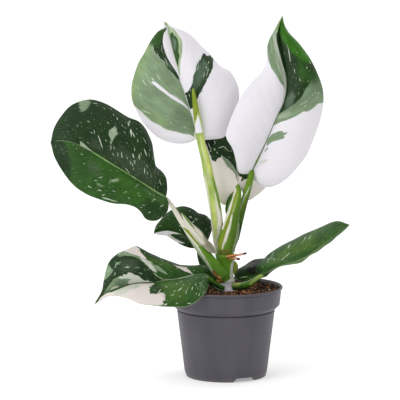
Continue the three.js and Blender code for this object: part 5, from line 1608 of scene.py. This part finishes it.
# A grain starts as an icosahedron.
ICO = [(0, 0, -1), (0.724, -0.526, -0.447), (-0.276, -0.851, -0.447), (-0.894, 0, -0.447),
       (-0.276, 0.851, -0.447), (0.724, 0.526, -0.447), (0.276, -0.851, 0.447), (-0.724, -0.526, 0.447),
       (-0.724, 0.526, 0.447), (0.276, 0.851, 0.447), (0.894, 0, 0.447), (0, 0, 1)]
ICO_FACES = [(0, 1, 2), (1, 0, 5), (0, 2, 3), (0, 3, 4), (0, 4, 5), (1, 5, 10), (2, 1, 6), (3, 2, 7),
             (4, 3, 8), (5, 4, 9), (1, 10, 6), (2, 6, 7), (3, 7, 8), (4, 8, 9), (5, 9, 10), (6, 10, 11),
             (7, 6, 11), (8, 7, 11), (9, 8, 11), (10, 9, 11)]


def turned(points, spin, tilt, roll):
    """Points turned about their own length, then tilted, then spun about Z."""
    for angle, (a, b) in ((roll, (1, 2)), (tilt, (0, 2)), (spin, (0, 1))):
        c, s = math.cos(angle), math.sin(angle)
        points[:, [a, b]] = points[:, [a, b]] @ np.array([[c, s], [-s, c]])
    return points


def scatter(name, number, sizes, material, brim, tones, lift):
    """Rough grains lying on the potting mix, in one mesh. sizes are lowest and highest half
    length, and the width and thickness as shares of it."""
    points, faces, tone = [], [], []
    (shortest, longest), wide, thick = sizes
    for k in range(number):
        length = shortest + (longest - shortest) * chance.random() ** 2.5
        # From 9.5 mm, beside the stem, to 1 mm short of the pot's wall.
        radius = 9.5 + (brim - 10.5 - length) * chance.random() ** 0.6
        angle = 2 * math.pi * chance.random()
        x, y = radius * math.cos(angle), radius * math.sin(angle)
        grain = np.array(ICO) * (1 + 0.5 * (chance.random((12, 1)) - 0.5))
        grain = grain * (length, length * wide * (0.6 + 0.8 * chance.random()), length * thick)
        grain = turned(grain, 2 * math.pi * chance.random(), chance.normal(0, 0.3), chance.normal(0, 0.5))
        z = soil_height(x, y) + length * thick * lift * chance.random()
        faces += [[12 * k + i for i in face] for face in ICO_FACES]
        points.append(grain + (x, y, z))
        tone += [tones[0] + (tones[1] - tones[0]) * chance.random() ** 1.5] * 12
    make_piece(name, np.vstack(points), faces, material, attributes={"tone": tone}, crease=40)


def fibres(brim, number):
    """Fine root and coir fibres on the potting mix, in one mesh."""
    points, faces = [], []
    for k in range(number):
        radius, angle = 12 + (brim - 20) * chance.random(), 2 * math.pi * chance.random()
        heading, bend = 2 * math.pi * chance.random(), chance.normal(0, 0.5)
        length = chance.uniform(5, 13)
        along = np.linspace(-0.5, 0.5, 9)
        x = radius * math.cos(angle) + length * along * np.cos(heading + bend * along)
        y = radius * math.sin(angle) + length * along * np.sin(heading + bend * along)
        z = soil_height(x, y) + 0.9 + 0.8 * np.cos(np.pi * along) * chance.random()
        thickness = chance.uniform(0.15, 0.3)
        turn = 2 * np.pi * np.arange(5) / 5
        out, up = np.cos(turn), np.sin(turn)
        ring = np.stack([-math.sin(heading) * out, math.cos(heading) * out, up], -1)
        tube, tube_faces = loft(np.stack([x, y, z], -1)[:, None] + thickness * ring)
        faces += [[i + len(tube) * k for i in face] for face in tube_faces]
        points.append(tube)
    material = earth("coir_fibre", ["#3d2716", "#7d5a36", "#a8865a"], 2.0)
    tone = np.repeat(chance.random(number), len(tube))
    make_piece("fibres", np.vstack(points), faces, material, attributes={"tone": tone})


brim = soil_body()
bark = earth("composted_bark", ["#190d07", "#3a1e0f", "#683a1e", "#a5703f"], 0.8)
scatter("bark_chips", 2600, ((0.5, 2.4), 0.6, 0.4), bark, brim, (0, 0.95), 1.0)
perlite = earth("perlite", ["#8d8272", "#cfc6b6"], 0.8)
scatter("perlite_grains", 110, ((0.4, 1.1), 0.9, 0.8), perlite, brim, (0.1, 0.8), 1.5)
fibres(brim, 40)


# Studio

def studio():
    floor_mesh = bpy.data.meshes.new("studio_floor")
    reach = 12
    corners = [(-reach, -reach, 0), (reach, -reach, 0), (reach, reach, 0), (-reach, reach, 0)]
    floor_mesh.from_pydata(corners, [], [(0, 1, 2, 3)])
    floor = bpy.data.objects.new("studio_floor", floor_mesh)
    bpy.context.collection.objects.link(floor)
    # White cast acrylic with a matt face, lit from below: an even pale ground without gloss.
    material, tree = new_material("lit_white_acrylic")
    shader = add(tree, "BsdfPrincipled", Base_Color=linear("#f0f0f0"), Roughness=0.9,
                 Emission_Color=linear("#ffffff"), Emission_Strength=0.32)[0]
    add(tree, "OutputMaterial", Surface=shader)
    floor_mesh.materials.append(material)

    world = bpy.data.worlds.new("soft_room")
    world.use_nodes = True
    tree = world.node_tree
    tree.nodes.clear()
    # The room is bright above and at the left, and darker on the right and behind the camera.
    towards = add(tree, "TexCoord")["Generated"]
    x_y_z = add(tree, "SeparateXYZ", towards)
    strength = 1.0
    for axis, low, high, at_low, at_high in (
        (2, -0.2, 0.8, 0.78, 1.0), (1, -0.9, -0.2, 0.65, 1.0), (0, 0.15, 0.9, 1.0, 0.6),
    ):
        share = add(tree, "MapRange", x_y_z[axis], low, high, at_low, at_high,
                    interpolation_type="SMOOTHSTEP")[0]
        strength = add(tree, "Math", strength, share, operation="MULTIPLY")[0]
    light = add(tree, "Background", Color=linear("#ffffff"), Strength=strength)[0]
    add(tree, "OutputWorld", Surface=light)
    bpy.context.scene.world = world

    for name, place, size, watts in (
        ("key_softbox", (-1.7, -1.5, 1.8), 1.8, 22),
        ("rim_softbox", (1.4, 1.2, 1.5), 1.2, 6),
    ):
        lamp = bpy.data.lights.new(name, "AREA")
        lamp.shape, lamp.size, lamp.energy = "DISK", size, watts
        holder = bpy.data.objects.new(name, lamp)
        holder.location = place
        aim = Vector((0, 0, 0.18)) - holder.location
        holder.rotation_euler = aim.to_track_quat("-Z", "Y").to_euler()
        bpy.context.collection.objects.link(holder)

    lens = bpy.data.cameras.new("camera")
    lens.lens, lens.sensor_width = 215.83, 36
    camera = bpy.data.objects.new("camera", lens)
    camera.location = (-0.0274, -2.5, 0.52057)
    camera.rotation_euler = (math.radians(90 - 7.602), 0, 0)
    bpy.context.collection.objects.link(camera)
    bpy.context.scene.camera = camera
    bpy.context.scene.view_settings.view_transform = "Standard"


studio()
